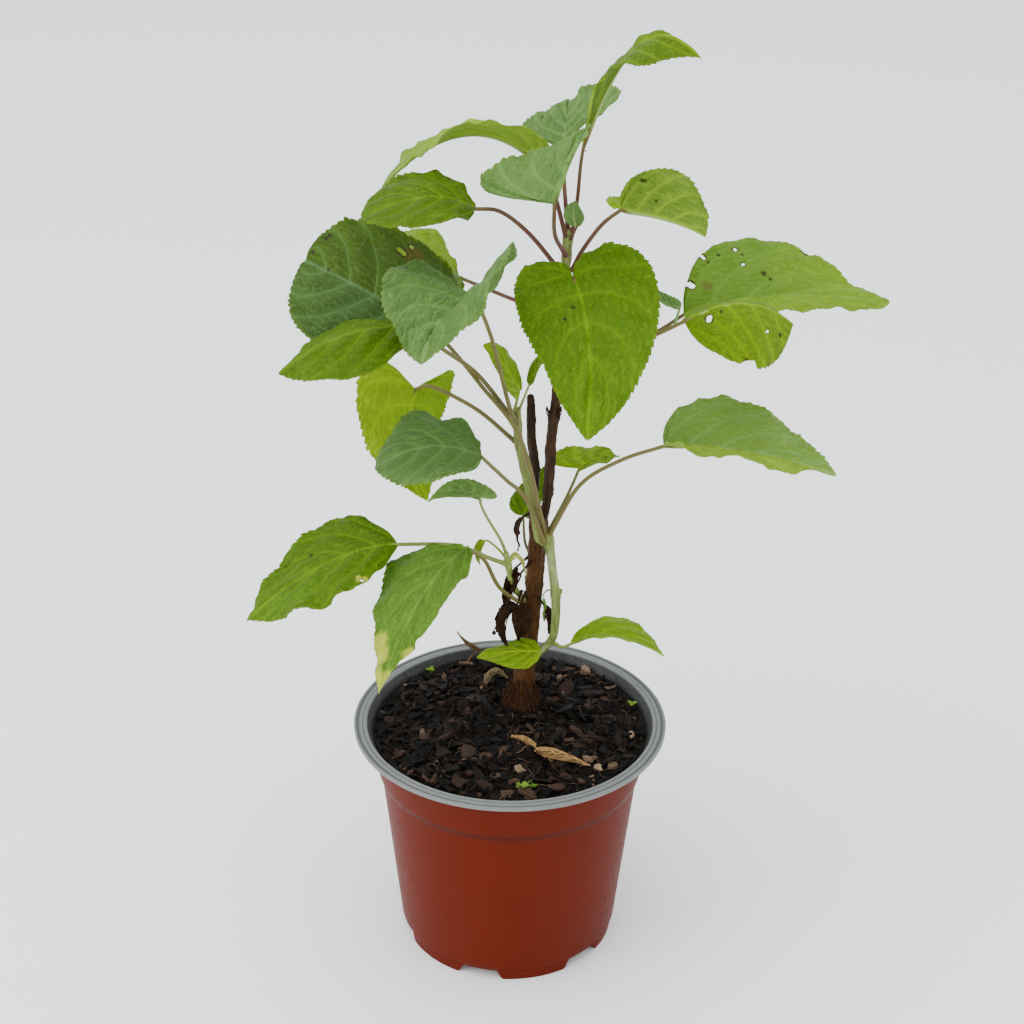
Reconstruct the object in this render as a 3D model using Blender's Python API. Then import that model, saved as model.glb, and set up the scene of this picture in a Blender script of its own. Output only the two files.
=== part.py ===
"""A young smooth-leaved hydrangea in a 17 cm nursery pot.

The pot stands on Z = 0 with its axis on the Z axis. X runs to the plant's right,
Y runs away from its front. Sizes below are in millimetres and are scaled to
metres when a mesh is made.
"""
import math
from collections import namedtuple

import bmesh
import bpy
import numpy as np

MM = 0.001
CLEARANCE = 0.3  # between pieces that touch on the real plant

# Pot: thermoformed, with a wide flat lip and a ring of feet
POT_RADIUS = 85.0  # outside the lip
POT_HEIGHT = 132.0
POT_WALL = 1.4
LIP_DROP = 2.4
LIP_INNER_RADIUS = 78.3
COLLAR_TOP_RADIUS = 76.0
COLLAR_FOOT_RADIUS = 72.4
COLLAR_FOOT_Z = 105.0
WALL_TOP_RADIUS = 70.4
WALL_FOOT_RADIUS = 60.4
LEDGE_Z = 8.5
FOOT_RADIUS = 58.6
FOOT_COUNT = 6
FOOT_ARCH = 5.5  # height of the arches between the feet
FOOT_SHARE = 0.64  # share of the ring that stands on the ground
FLOOR_Z = 7.0
PAD_RADIUS = 26.0  # level pad in the middle of the pot's underside
POT_SEGMENTS = 60

# Potting mix
MIX_EDGE_Z = 127.0
MIX_CROWN_Z = 129.0
MIX_CROWN_RADIUS = 40.0
MIX_SEGMENTS = 40

# Leaves
BLADE_THICKNESS = 1.1
BLADE_STEPS = 10  # along each half of a blade
BLADE_LANES = 2  # from the midrib to the margin
PETIOLE_SIDES = 5
PETIOLE_RADIUS = 1.2
MIDRIB_REACH = 0.55  # share of the blade that the thick midrib runs along
STEM_SIDES = 9


def unit(vectors):
    """Vectors scaled to length one."""
    return vectors / np.maximum(np.linalg.norm(vectors, axis=-1, keepdims=True), 1e-9)


def smooth_path(points, count):
    """count + 1 points on a Catmull-Rom curve through the given points."""
    knots = np.asarray(points, float)
    knots = np.vstack([2 * knots[0] - knots[1], knots, 2 * knots[-1] - knots[-2]])
    spans = len(knots) - 3
    place = np.linspace(0, spans, count + 1)
    span = np.minimum(place.astype(int), spans - 1)
    f = (place - span)[:, None]
    a, b, c, d = (knots[span + k] for k in range(4))
    return 0.5 * (2 * b + (c - a) * f + (2 * a - 5 * b + 4 * c - d) * f**2 + (3 * b - a - 3 * c + d) * f**3)


# Stems: a centre line, and radii spread evenly along it
Stem = namedtuple("Stem", "line radii colour steps")
WOOD = (0.075, 0.035, 0.018)
DEAD_WOOD = (0.025, 0.016, 0.012)
GREEN_SHOOT = (0.20, 0.27, 0.10)
STEMS = {
    "trunk": Stem([(6, 22, 129.3), (7.6, 22, 142), (11, 22, 177), (13, 22, 215), (14, 22, 245)],
                  [9.5, 6.2, 4.6, 4.4, 4.4, 4.9], WOOD, 10),
    "dead_stub": Stem([(11, 23, 245.6), (12, 26, 269), (10, 28, 286), (9, 30, 310)],
                      [2.3, 2.3, 2.2, 2.0], DEAD_WOOD, 8),
    "old_cane": Stem([(16.8, 21, 245.6), (19, 18, 261), (20, 16, 293), (22, 14, 318), (24, 12, 343.9)],
                     [2.6, 2.5, 2.4, 2.6, 2.2], DEAD_WOOD, 10),
    "top_shoot": Stem([(24, 12, 344.5), (24, 8, 370), (25, 4, 389), (26, 4, 408)],
                      [2.1, 2.2, 2.2, 2.4], GREEN_SHOOT, 8),
    "right_shoot": Stem([(16.3, 20, 163), (23, 14, 176), (24, 10, 200), (21.5, 10, 221), (19, 10, 240)],
                        [2.2, 2.3, 2.5, 2.3, 2.6], GREEN_SHOOT, 10),
    "centre_shoot": Stem([(13.9, 9.7, 237.5), (11, 9, 256), (7, 8, 275), (3, 6, 296), (2, 4, 314)],
                         [2.1, 2.2, 2.3, 2.3, 2.0], GREEN_SHOOT, 10),
    "low_shoot": Stem([(6.1, 20, 196), (1, 15, 206), (-1, 11, 217), (-3, 7, 230)],
                      [1.7, 1.7, 1.7, 1.5], GREEN_SHOOT, 8),
}

# Leaves. Pairs are (right half, left half), seen from the joint towards the tip with
# the upper side up. A half's fold is its lift above level, in degrees, at the base and
# at the tip. Lobe, taper and base shape the outline: how far a lobe reaches back behind
# the joint, how pointed the tip is and how narrow the base is. A petiole starts at a
# height on its stem, or at a point just above the stem's tip, and follows its route.
Leaf = namedtuple(
    "Leaf", "joint middle tip widths folds folds_tip roll lobes tapers bases stem start route colour")
YOUNG_GREEN = (0.22, 0.33, 0.02)
DEEP_GREEN = (0.09, 0.20, 0.05)
GREY_GREEN = (0.20, 0.32, 0.16)


def leaf(joint, middle, tip, widths, stem, start, route=(), folds=(0, 0), folds_tip=None, roll=(0, 0),
         lobes=(0.05, 0.05), tapers=(0.4, 0.4), bases=(0, 0), colour=YOUNG_GREEN):
    """A leaf's sizes, with the plain values filled in."""
    return Leaf(joint, middle, tip, widths, folds, folds_tip or folds, roll, lobes, tapers, bases,
                stem, start, route, colour)


LEAVES = {
    # crown
    "leaf_top": leaf((32, 4, 450), (56, -6, 502), (84, -22, 500), (25, 9), "top_shoot", (27.8, 3.6, 408.7),
        [(30, 5, 425), (31, 5, 440)], (0, 60), (-30, -20), (22, -10), (0, 0.1), (0.9, 0.5), (1.5, 0)),
    "leaf_top_rear": leaf((23, 32, 444), (25, 54, 450), (27, 76, 454), (32, 23), "top_shoot",
        (25.9, 5.9, 408.8), [(24, 14, 426)], (38, 0), None, (0, 0), (0, 0.05), (0.3, 0.6), (0.1, 0),
        GREY_GREEN),
    "leaf_pale_front": leaf((18, -38, 436), (25, -25, 452), (35, -10, 466), (8, 43), "top_shoot", 396,
        [(19, -16, 414)], (60, 0), None, (0, 0), (0.1, 0.05), (0.6, 1.3), (0, 0), GREY_GREEN),
    "leaf_upper_left": leaf((10, 8, 443), (-27, 14, 453), (-66, 24, 422), (21, 22), "top_shoot",
        (24.1, 2.9, 409.0), [(18, 7, 429)], (-5, 58), (12, -12), (0, 0), (0, 0.05), (-0.1, 0.35),
        (0.5, -0.12)),
    "leaf_folded_left": leaf((-19, -18, 427), (-42, -24, 434), (-72, -28, 425), (30, 24), "top_shoot", 385,
        [(7, -4, 410), (-7, -10, 423)], (10, -12), None, (0, 0), (0.05, 0), (0.15, 0.1), (0.25, 0.15)),
    "leaf_upper_right": leaf((51, 4, 420), (73, -4, 418), (91, -12, 412), (27, 16), "top_shoot", 380,
        [(33, 2, 400), (42, 2, 413)], (80, 10), None, (0, 0), (0.08, 0.4), (0.1, 0.15), (0.2, 0)),
    "leaf_bud": leaf((30, -3, 414), (28, -6, 421), (29, -8, 428), (5, 5), "top_shoot", 401, (), (5, 5),
        None, (0, 0), (0, 0), (0.3, 0.3), (0, 0), GREY_GREEN),
    # left side
    "leaf_broad_left": leaf((-47, -14, 369), (-77, -8, 384), (-103, -2, 395), (42, 38), "right_shoot",
        (17.6, 9.2, 240.7), [(4, -6, 302), (-16, -10, 333), (-33, -12, 356)], (0, -4), None, (30, 30),
        (0.36, 0.05), (-0.15, 0), (0.0, 0.35), DEEP_GREEN),
    "leaf_back_left": leaf((-29, 56, 366), (-46, 50, 376), (-64, 42, 378), (36, 23), "top_shoot", 356,
        [(8, 24, 362), (-8, 40, 363)], (14, -5), None, (0, 0), (0.1, 0.1), (0.3, 0.3)),
    "leaf_low_pointed": leaf((-46, -46, 378), (-79, -58, 378), (-110, -62, 360), (24, 25), "centre_shoot",
        306, [(-18, -14, 341), (-34, -34, 362)], (-11, -24), None, (0, 0), (0.04, 0.04), (0.4, 0.4),
        (0.1, 0.5)),
    "leaf_grey_front": leaf((-17, -44, 390), (-33, -68, 391), (-41, -92, 378), (38, 37), "centre_shoot",
        303, [(-2, -9, 322), (-7, -22, 348), (-11, -34, 369)], (20, 60), (25, 10), (0, 0), (0.12, 0.32),
        (0.45, 0.45), (0, 0.25), GREY_GREEN),
    "leaf_back_heart": leaf((-51, 34, 312), (-54, 28, 284), (-45, 24, 252), (34, 22), "centre_shoot", 293,
        [(-19, 18, 308), (-42, 30, 315)], (0, 0), None, (0, 0), (0.32, 0.4), (0.6, 0.35)),
    "leaf_oval_front": leaf((-15, -34, 305), (-41, -40, 313), (-67, -44, 303), (31, 30), "right_shoot", 226,
        [(7, 0, 266), (-3, -12, 282)], (0, 0), None, (10, 10), (0.06, 0.02), (0.15, 0.15), (0.05, 0.3),
        DEEP_GREEN),
    "leaf_small_left": leaf((-17, -12, 272), (-29, -14, 276), (-43, -16, 271), (12, 10), "low_shoot",
        (-3.1, 6.7, 230.8), [(-6, 0, 242), (-14, -8, 261)], (20, 15), None, (0, 0), (0.6, 0.1),
        (0.35, 0.35), (0, 0), GREY_GREEN),
    "leaf_long_left": leaf((-58, -24, 251), (-95, -28, 241), (-136, -34, 211), (28, 27), "low_shoot", 222,
        [(-12, 0, 231), (-22, -6, 239), (-35, -12, 245)], (2, -2), None, (14, 14), (0.02, 0.02), (0.5, 0.5),
        (0.35, 0.5)),
    "leaf_low_front": leaf((-23, -30, 252), (-45, -56, 237), (-65, -84, 199), (32, 17), "trunk", 188,
        [(-6, 2, 212), (-14, -14, 237)], (0, 0), None, (-12, -6), (0, 0), (0.5, 0.45), (0.05, 0.05)),
    # middle
    "leaf_heart_front": leaf((28, -24, 395), (35, -56, 374), (34, -88, 339), (32, 37), "top_shoot", 375,
        [(27, -10, 390)], (4, 6), None, (0, 0), (0.3, 0.36), (0.5, 0.42), (0.3, 0.24)),
    "leaf_behind_left": leaf((6, 34, 239), (11, 40, 249), (20, 50, 262), (9, 11), "trunk", 212,
        [(7, 30, 226)], (5, 5), None, (0, 0), (0.1, 0.1), (0.35, 0.35)),
    "leaf_behind_right": leaf((35, 20, 274), (46, 24, 278), (56, 30, 276), (10, 20), "right_shoot",
        (19.6, 11.8, 241.4), [(29, 16, 260)], (20, 5), None, (0, 0), (0.1, 0.7), (0.4, 0.4)),
    "leaf_young_left": leaf((3, 0, 326), (-5, -4, 341), (-15, -8, 354), (12, 10), "centre_shoot",
        (1.0, 3.2, 314.9), (), (5, 0), None, (35, 35), (0.1, 0.1), (0.3, 0.3)),
    "leaf_young_right": leaf((8, 4, 328), (12, 5, 338), (17, 7, 346), (7, 5), "centre_shoot",
        (3.5, 4.9, 314.7), (), (10, 10), None, (0, 0), (0, 0), (0.3, 0.3)),
    "leaf_rear": leaf((30, 34, 352), (40, 66, 356), (48, 96, 338), (25, 25), "old_cane", 328,
        [(27, 24, 344)], (8, 8), None, (0, 0), (0.2, 0.2), (0.5, 0.5)),
    # right side
    "leaf_big_right": leaf((86, 26, 358), (133, 32, 366), (190, 26, 366), (24, 44), "top_shoot", 350,
        [(54, 20, 343), (72, 24, 349)], (27, 35), (-12, 5), (0, 0), (0.05, 0), (0.1, 0.62), (0.1, 0.4),
        GREY_GREEN),
    "leaf_ragged_right": leaf((82, -20, 372), (111, -16, 380), (137, -14, 368), (34, 18), "old_cane", 340,
        [(53, -4, 351), (70, -14, 363)], (-50, -20), (-42, -20), (0, 0), (0.02, 0.05), (-0.3, -0.1),
        (-0.12, 0.1)),
    "leaf_drooping_right": leaf((76, -12, 302), (116, -20, 303), (160, -34, 297), (20, 37), "right_shoot",
        (20.4, 8.8, 241.5), [(35, 4, 272), (55, -4, 290)], (47, 0), (10, 0), (-20, -18), (0.05, 0.05),
        (0.45, 0.45), (0.15, 0.08), GREY_GREEN),
    # foot
    "leaf_foot_front": leaf((16, 0, 174), (0, 1, 173), (-18, 0, 170), (12, 15), "right_shoot", 170, (),
        (0, 0), None, (6, 6), (0, 0.05), (0.5, 0.5), (0.05, 0.05)),
    "leaf_foot_right": leaf((33, 8, 175), (55, 8, 180), (83, 2, 171), (12, 17), "right_shoot", 172,
        [(28, 9, 172)], (27, 15), None, (0, 0), (0, 0), (0.45, 0.45), (0.2, 0.7)),
}


def material(name, colour, roughness):
    """A plain Principled material."""
    mat = bpy.data.materials.get(name) or bpy.data.materials.new(name)
    mat.use_nodes = True
    shader = mat.node_tree.nodes["Principled BSDF"]
    shader.inputs["Base Color"].default_value = (*colour, 1)
    shader.inputs["Roughness"].default_value = roughness
    return mat


def add_object(name, points, faces, mat):
    """An object from points in millimetres and faces, with its faces turned outwards."""
    mesh = bpy.data.meshes.new(name)
    mesh.from_pydata((np.asarray(points) * MM).tolist(), [], [list(map(int, f)) for f in faces])
    work = bmesh.new()
    work.from_mesh(mesh)
    bmesh.ops.recalc_face_normals(work, faces=work.faces)
    work.to_mesh(mesh)
    work.free()
    mesh.materials.append(mat)
    item = bpy.data.objects.new(name, mesh)
    bpy.context.scene.collection.objects.link(item)
    mesh.shade_smooth()
    return item


def apply_modifiers(item):
    """Replace an object's mesh by its evaluated mesh."""
    depsgraph = bpy.context.evaluated_depsgraph_get()
    mesh = bpy.data.meshes.new_from_object(item.evaluated_get(depsgraph))
    item.modifiers.clear()
    item.data = mesh


def rings_to_solid(rings):
    """Points and faces of a solid that joins rings of equal count, with flat ends."""
    count, sides = len(rings), len(rings[0])
    faces = []
    for k in range(count - 1):
        for i in range(sides):
            j = (i + 1) % sides
            faces.append((k * sides + i, k * sides + j, (k + 1) * sides + j, (k + 1) * sides + i))
    faces.append(tuple(range(sides))[::-1])
    faces.append(tuple(range((count - 1) * sides, count * sides)))
    return np.vstack(rings), faces


def tube(path, radii, sides, start_normal=None):
    """A tapering limb along a path. Its rings turn with the path and never twist."""
    path = np.asarray(path, float)
    tangents = unit(np.gradient(path, axis=0))
    if start_normal is not None:
        tangents[0] = start_normal
    side = unit(np.cross(tangents[0], (0.3, 1.0, 0.2)))
    angles = np.arange(sides) * 2 * math.pi / sides
    rings = []
    for centre, tangent, radius in zip(path, tangents, radii):
        side = unit(side - tangent * np.dot(side, tangent))
        other = np.cross(tangent, side)
        rings.append(centre + radius * (np.cos(angles)[:, None] * side + np.sin(angles)[:, None] * other))
    return rings_to_solid(rings)


# ---------------------------------------------------------------- pot and mix


def foot_height(angle):
    """Height of the foot ring's lower edge: level feet with arches between them."""
    turn = (angle * FOOT_COUNT / (2 * math.pi) + 0.25) % 1.0
    inside = abs(turn - 0.5) * 2  # 0 in the middle of an arch, 1 in the middle of a foot
    return 0.0 if inside > 1 - FOOT_SHARE else FOOT_ARCH


def pot_profile(angle):
    """The pot's section at one angle, from its underside out, up and back inside."""
    low = foot_height(angle)
    floor_under = FLOOR_Z - POT_WALL
    outer = [
        (PAD_RADIUS, 0.0),
        (PAD_RADIUS + 2, floor_under),
        (FOOT_RADIUS - 4, floor_under),
        (FOOT_RADIUS - 3, low),
        (FOOT_RADIUS, low),
        (FOOT_RADIUS + 0.5, LEDGE_Z - 1),
        (WALL_FOOT_RADIUS, LEDGE_Z),
        (WALL_TOP_RADIUS, COLLAR_FOOT_Z - 4),
        (COLLAR_FOOT_RADIUS, COLLAR_FOOT_Z),
        (COLLAR_TOP_RADIUS, POT_HEIGHT - LIP_DROP - 3),
        (LIP_INNER_RADIUS, POT_HEIGHT - POT_WALL),
        (POT_RADIUS - POT_WALL, POT_HEIGHT - POT_WALL),
        (POT_RADIUS - POT_WALL, POT_HEIGHT - LIP_DROP),
        (POT_RADIUS, POT_HEIGHT - LIP_DROP),
        (POT_RADIUS, POT_HEIGHT - 1),
        (POT_RADIUS - 1, POT_HEIGHT),
        (LIP_INNER_RADIUS, POT_HEIGHT),
    ]
    inner = [(radius - POT_WALL, z) for radius, z in reversed(outer[6:10])]
    return outer + inner + [(WALL_FOOT_RADIUS - POT_WALL, FLOOR_Z)]


def make_pot():
    """The pot: its profile carried round the axis, closed by two discs."""
    rings = []
    for k in range(POT_SEGMENTS):
        angle = 2 * math.pi * k / POT_SEGMENTS
        rings.append([(r * math.cos(angle), r * math.sin(angle), z) for r, z in pot_profile(angle)])
    count = len(rings[0])
    faces = []
    for k in range(POT_SEGMENTS):
        after = (k + 1) % POT_SEGMENTS
        for i in range(count - 1):
            faces.append((k * count + i, after * count + i, after * count + i + 1, k * count + i + 1))
    faces.append([k * count for k in range(POT_SEGMENTS)])
    faces.append([k * count + count - 1 for k in range(POT_SEGMENTS)])
    add_object("pot", np.vstack(rings), faces, material("pot_terracotta", (0.26, 0.035, 0.015), 0.45))


def inside_radius(z):
    """Radius of the pot's inner wall at a height."""
    profile = [(r - POT_WALL, h) for r, h in pot_profile(0.0)[6:10]] + [(LIP_INNER_RADIUS, POT_HEIGHT)]
    return float(np.interp(z, [h for _, h in profile], [r for r, _ in profile]))


def make_mix():
    """The potting mix: it fills the pot and rises a little round the stems."""
    low = FLOOR_Z + CLEARANCE
    levels = [low, LEDGE_Z + 1, 60, COLLAR_FOOT_Z - 4, COLLAR_FOOT_Z, POT_HEIGHT - LIP_DROP - 3, MIX_EDGE_Z]
    profile = [(inside_radius(z) - CLEARANCE - 0.15, z) for z in levels]
    profile.append((MIX_CROWN_RADIUS, MIX_CROWN_Z))
    angles = np.arange(MIX_SEGMENTS) * 2 * math.pi / MIX_SEGMENTS
    round_way = np.stack([np.cos(angles), np.sin(angles)], 1)
    rings = [np.column_stack([r * round_way, np.full(MIX_SEGMENTS, z)]) for r, z in profile]
    add_object("potting_mix", *rings_to_solid(rings), material("potting_mix", (0.035, 0.022, 0.016), 0.95))


# ---------------------------------------------------------------- stems


def stem_at(name, height):
    """A stem's centre, direction and radius where it passes a height."""
    stem = STEMS[name]
    line = smooth_path(stem.line, 60)
    k = int(np.argmin(np.abs(line[:, 2] - height)))
    radii = np.interp(np.linspace(0, 1, 61), np.linspace(0, 1, len(stem.radii)), stem.radii)
    return line[k], unit(np.gradient(line, axis=0))[k], radii[k]


def make_stem(name):
    """One stem, with level ends where it meets the mix or another stem."""
    stem = STEMS[name]
    line = smooth_path(stem.line, stem.steps)
    radii = np.interp(np.linspace(0, 1, len(line)), np.linspace(0, 1, len(stem.radii)), stem.radii)
    start = (0, 0, 1) if name in ("trunk", "dead_stub", "old_cane", "top_shoot") else None
    add_object(name, *tube(line, radii, STEM_SIDES, start), material(name, stem.colour, 0.8))


# ---------------------------------------------------------------- leaves


def midrib(item, share):
    """Points and directions at shares of the midrib, a parabola through its middle."""
    joint, middle, tip = (np.asarray(p, float) for p in (item.joint, item.middle, item.tip))
    handle = 2 * middle - (joint + tip) / 2
    s = np.asarray(share, float)[..., None]
    points = (1 - s) ** 2 * joint + 2 * s * (1 - s) * handle + s * s * tip
    return points, unit(2 * (1 - s) * (handle - joint) + 2 * s * (tip - handle))


def midrib_frame(item, share):
    """Midrib points with their directions, right-hand and upward vectors."""
    points, along = midrib(item, share)
    level = unit(np.cross(np.subtract(item.tip, item.joint), (0, 0, 1.0)))
    up = unit(np.cross(level, along))
    right = np.cross(along, up)
    roll = np.radians(item.roll[0] + (item.roll[1] - item.roll[0]) * np.asarray(share))[..., None]
    return points, along, right * np.cos(roll) + up * np.sin(roll), up * np.cos(roll) - right * np.sin(roll)


def half_blade(item, side, steps, lanes):
    """A grid over one half of a blade: rows follow the side veins from midrib to margin."""
    pick = 0 if side > 0 else 1
    t = np.linspace(0, 1, steps + 1)[:, None]
    s = np.linspace(0, 1, lanes + 1)[None, :]
    phi = math.pi * t
    base, taper, lobe = item.bases[pick], item.tapers[pick], item.lobes[pick]
    widest = (1 + 2 * base) / (2 + 2 * taper + 2 * base)
    half_width = np.sin(phi / 2) ** (1 + 2 * base) * np.cos(phi / 2) ** (1 + 2 * taper)
    half_width *= item.widths[pick] / (widest ** (0.5 + base) * (1 - widest) ** (0.5 + taper))
    margin = (1 - np.cos(phi)) / 2 - lobe * np.sin(phi) * (1 + np.cos(phi)) / 1.3
    foot = np.clip((t - 0.3) / 0.7, 0, 1) ** 1.1
    along_share = foot + (margin - foot) * s
    out = half_width * s
    inside = np.clip(along_share, 0, 1)
    spine = midrib(item, np.linspace(0, 1, 41))[0]
    length = np.linalg.norm(np.diff(spine, axis=0), axis=1).sum()
    points, along, right, up = midrib_frame(item, inside)
    points = points + along * ((along_share - inside) * length)[..., None]
    fold = np.radians(item.folds[pick] + (item.folds_tip[pick] - item.folds[pick]) * inside)[..., None]
    return points + out[..., None] * (side * right * np.cos(fold) + up * np.sin(fold))


def blade_sheet(item, steps, lanes):
    """The blade as one sheet: two halves that share the midrib. Equal points are one point."""
    points, faces = [], []
    for side in (1, -1):
        grid = half_blade(item, side, steps, lanes)
        first = len(points)
        points.extend(grid.reshape(-1, 3))
        for i in range(1, steps):  # the first row has no width
            for j in range(lanes):
                a = first + i * (lanes + 1) + j
                quad = [a, a + 1, a + lanes + 2, a + lanes + 1]
                faces.append(quad if side < 0 else quad[::-1])
    keys = {}
    index = [keys.setdefault(tuple(np.round(p, 3)), len(keys)) for p in points]
    merged = np.array(list(keys))
    clean = []
    for face in faces:
        corners = []
        for vertex in (index[v] for v in face):
            if vertex not in corners:
                corners.append(vertex)
        if len(corners) > 2:
            clean.append(corners)
    return merged, clean


def petiole_start(item, towards):
    """Where a petiole's flat end stands clear of its stem."""
    if not np.isscalar(item.start):
        return np.array(item.start, float)
    centre, direction, radius = stem_at(item.stem, item.start)
    way = unit(np.asarray(towards, float) - centre)
    steep = abs(float(way @ direction))
    reach = (radius + CLEARANCE + PETIOLE_RADIUS * steep) / math.sqrt(1 - min(steep, 0.98) ** 2)
    return centre + way * reach


def make_leaf(name, item):
    """One leaf: a thin blade fused to its petiole, which runs on as the midrib."""
    mat = material(name, item.colour, 0.55)
    blade = add_object(name, *blade_sheet(item, BLADE_STEPS, BLADE_LANES), mat)
    solidify = blade.modifiers.new("thickness", "SOLIDIFY")
    solidify.thickness = BLADE_THICKNESS * MM
    solidify.offset = 0
    apply_modifiers(blade)

    shares = np.array([0.0, 0.12, 0.3, MIDRIB_REACH])
    ribs, _, _, up = midrib_frame(item, shares)
    ribs = ribs - up * (BLADE_THICKNESS * np.array([0.0, 0.4, 0.45, 0.3]))[:, None]
    start = petiole_start(item, (list(item.route) + [item.joint])[0])
    knots = np.vstack([start, *item.route, ribs[0]]) if len(item.route) else np.vstack([start, ribs[0]])
    steps = 4 if len(knots) == 2 else 2 * len(knots) + 1
    stalk = smooth_path(knots, steps)
    path = np.vstack([stalk, ribs[1:]])
    small = min(1.0, 0.45 + sum(item.widths) / 80)
    radii = np.concatenate([np.linspace(1.0, 0.8, len(stalk)), [0.75, 0.6, 0.35]]) * PETIOLE_RADIUS * small
    petiole = add_object(name + "_petiole", *tube(path, radii, PETIOLE_SIDES), mat)

    union = blade.modifiers.new("petiole", "BOOLEAN")
    union.operation = "UNION"
    union.solver = "MANIFOLD"
    union.object = petiole
    apply_modifiers(blade)
    bpy.data.objects.remove(petiole)


def main():
    for item in list(bpy.data.objects):
        bpy.data.objects.remove(item)
    make_pot()
    make_mix()
    for name in STEMS:
        make_stem(name)
    for name, item in LEAVES.items():
        make_leaf(name, item)


main()
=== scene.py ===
"""Looks of a young smooth-leaved hydrangea in a 17 cm nursery pot.

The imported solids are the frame. Each leaf, stem, the pot and the potting mix is replaced
here by a finer mesh, worked out by the same rule as its solid. The pot stands on Z = 0,
X runs to the plant's right and Y away from its front. Lengths inside the functions are in
millimetres, and a mesh is scaled to metres when it is made.
"""
import math
from collections import namedtuple

import bmesh
import bpy
import numpy as np
from bpy.props import FloatProperty, FloatVectorProperty, IntProperty, PointerProperty
from mathutils import Matrix, Vector


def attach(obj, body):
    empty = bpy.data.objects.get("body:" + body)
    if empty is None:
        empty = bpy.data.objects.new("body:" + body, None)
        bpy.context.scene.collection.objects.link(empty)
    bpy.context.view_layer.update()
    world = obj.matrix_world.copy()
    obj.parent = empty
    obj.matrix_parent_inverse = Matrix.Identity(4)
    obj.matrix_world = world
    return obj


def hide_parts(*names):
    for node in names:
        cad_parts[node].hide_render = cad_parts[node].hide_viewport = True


bl_info = {
    "name": "Potted hydrangea",
    "version": (1, 0, 0),
    "blender": (4, 5, 0),
    "location": "3D View > Sidebar > Hydrangea",
    "description": "Dresses the solids of a potted hydrangea with fine leaves, stems, pot and soil",
    "category": "Object",
}

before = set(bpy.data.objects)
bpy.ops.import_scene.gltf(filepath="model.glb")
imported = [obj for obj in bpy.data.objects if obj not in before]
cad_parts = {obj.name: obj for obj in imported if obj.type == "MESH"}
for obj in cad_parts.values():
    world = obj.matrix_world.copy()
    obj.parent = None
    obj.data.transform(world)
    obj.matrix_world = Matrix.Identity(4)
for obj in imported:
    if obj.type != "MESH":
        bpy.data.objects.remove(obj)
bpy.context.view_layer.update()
MM = 0.001
CLEARANCE = 0.3  # between pieces that touch on the real plant

# Pot: thermoformed, with a wide flat lip and a ring of feet
POT_RADIUS = 85.0  # outside the lip
POT_HEIGHT = 132.0
POT_WALL = 1.4
LIP_DROP = 2.4
LIP_INNER_RADIUS = 78.3
COLLAR_TOP_RADIUS = 76.0
COLLAR_FOOT_RADIUS = 72.4
COLLAR_FOOT_Z = 105.0
WALL_TOP_RADIUS = 70.4
WALL_FOOT_RADIUS = 60.4
LEDGE_Z = 8.5
FOOT_RADIUS = 58.6
FOOT_COUNT = 6
FOOT_ARCH = 5.5  # height of the arches between the feet
FOOT_SHARE = 0.64  # share of the ring that stands on the ground
FLOOR_Z = 7.0
PAD_RADIUS = 26.0  # level pad in the middle of the pot's underside

# Potting mix
MIX_EDGE_Z = 127.0
MIX_CROWN_Z = 129.0
MIX_CROWN_RADIUS = 40.0

# Leaves
PETIOLE_RADIUS = 1.2

# Material slots of the record
WOOD, DEAD_WOOD, GREEN_SHOOT = "bark", "dead_wood", "green_shoot"
YOUNG_GREEN, DEEP_GREEN, GREY_GREEN = "leaf_young_green", "leaf_deep_green", "leaf_grey_green"

# Stems: a centre line, radii spread evenly along it, and a slot
Stem = namedtuple("Stem", "line radii slot")
STEMS = {
    "trunk": Stem([(6, 22, 129.3), (7.6, 22, 142), (11, 22, 177), (13, 22, 215), (14, 22, 245)],
                  [9.5, 6.2, 4.6, 4.4, 4.4, 4.9], WOOD),
    "dead_stub": Stem([(11, 23, 245.6), (12, 26, 269), (10, 28, 286), (9, 30, 310)],
                      [2.3, 2.3, 2.2, 2.0], DEAD_WOOD),
    "old_cane": Stem([(16.8, 21, 245.6), (19, 18, 261), (20, 16, 293), (22, 14, 318), (24, 12, 343.9)],
                     [2.6, 2.5, 2.4, 2.6, 2.2], DEAD_WOOD),
    "top_shoot": Stem([(24, 12, 344.5), (24, 8, 370), (25, 4, 389), (26, 4, 408)],
                      [2.1, 2.2, 2.2, 2.4], GREEN_SHOOT),
    "right_shoot": Stem([(16.3, 20, 163), (23, 14, 176), (24, 10, 200), (21.5, 10, 221), (19, 10, 240)],
                        [2.2, 2.3, 2.5, 2.3, 2.6], GREEN_SHOOT),
    "centre_shoot": Stem([(13.9, 9.7, 237.5), (11, 9, 256), (7, 8, 275), (3, 6, 296), (2, 4, 314)],
                         [2.1, 2.2, 2.3, 2.3, 2.0], GREEN_SHOOT),
    "low_shoot": Stem([(6.1, 20, 196), (1, 15, 206), (-1, 11, 217), (-3, 7, 230)],
                      [1.7, 1.7, 1.7, 1.5], GREEN_SHOOT),
}

# Leaves. Pairs are (right half, left half), seen from the joint towards the tip with
# the upper side up. A half's fold is its lift above level, in degrees, at the base and
# at the tip. Lobe, taper and base shape the outline: how far a lobe reaches back behind
# the joint, how pointed the tip is and how narrow the base is. A petiole starts at a
# height on its stem, or at a point just above the stem's tip, and follows its route.
Leaf = namedtuple(
    "Leaf", "joint middle tip widths folds folds_tip roll lobes tapers bases stem start route slot")


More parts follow.
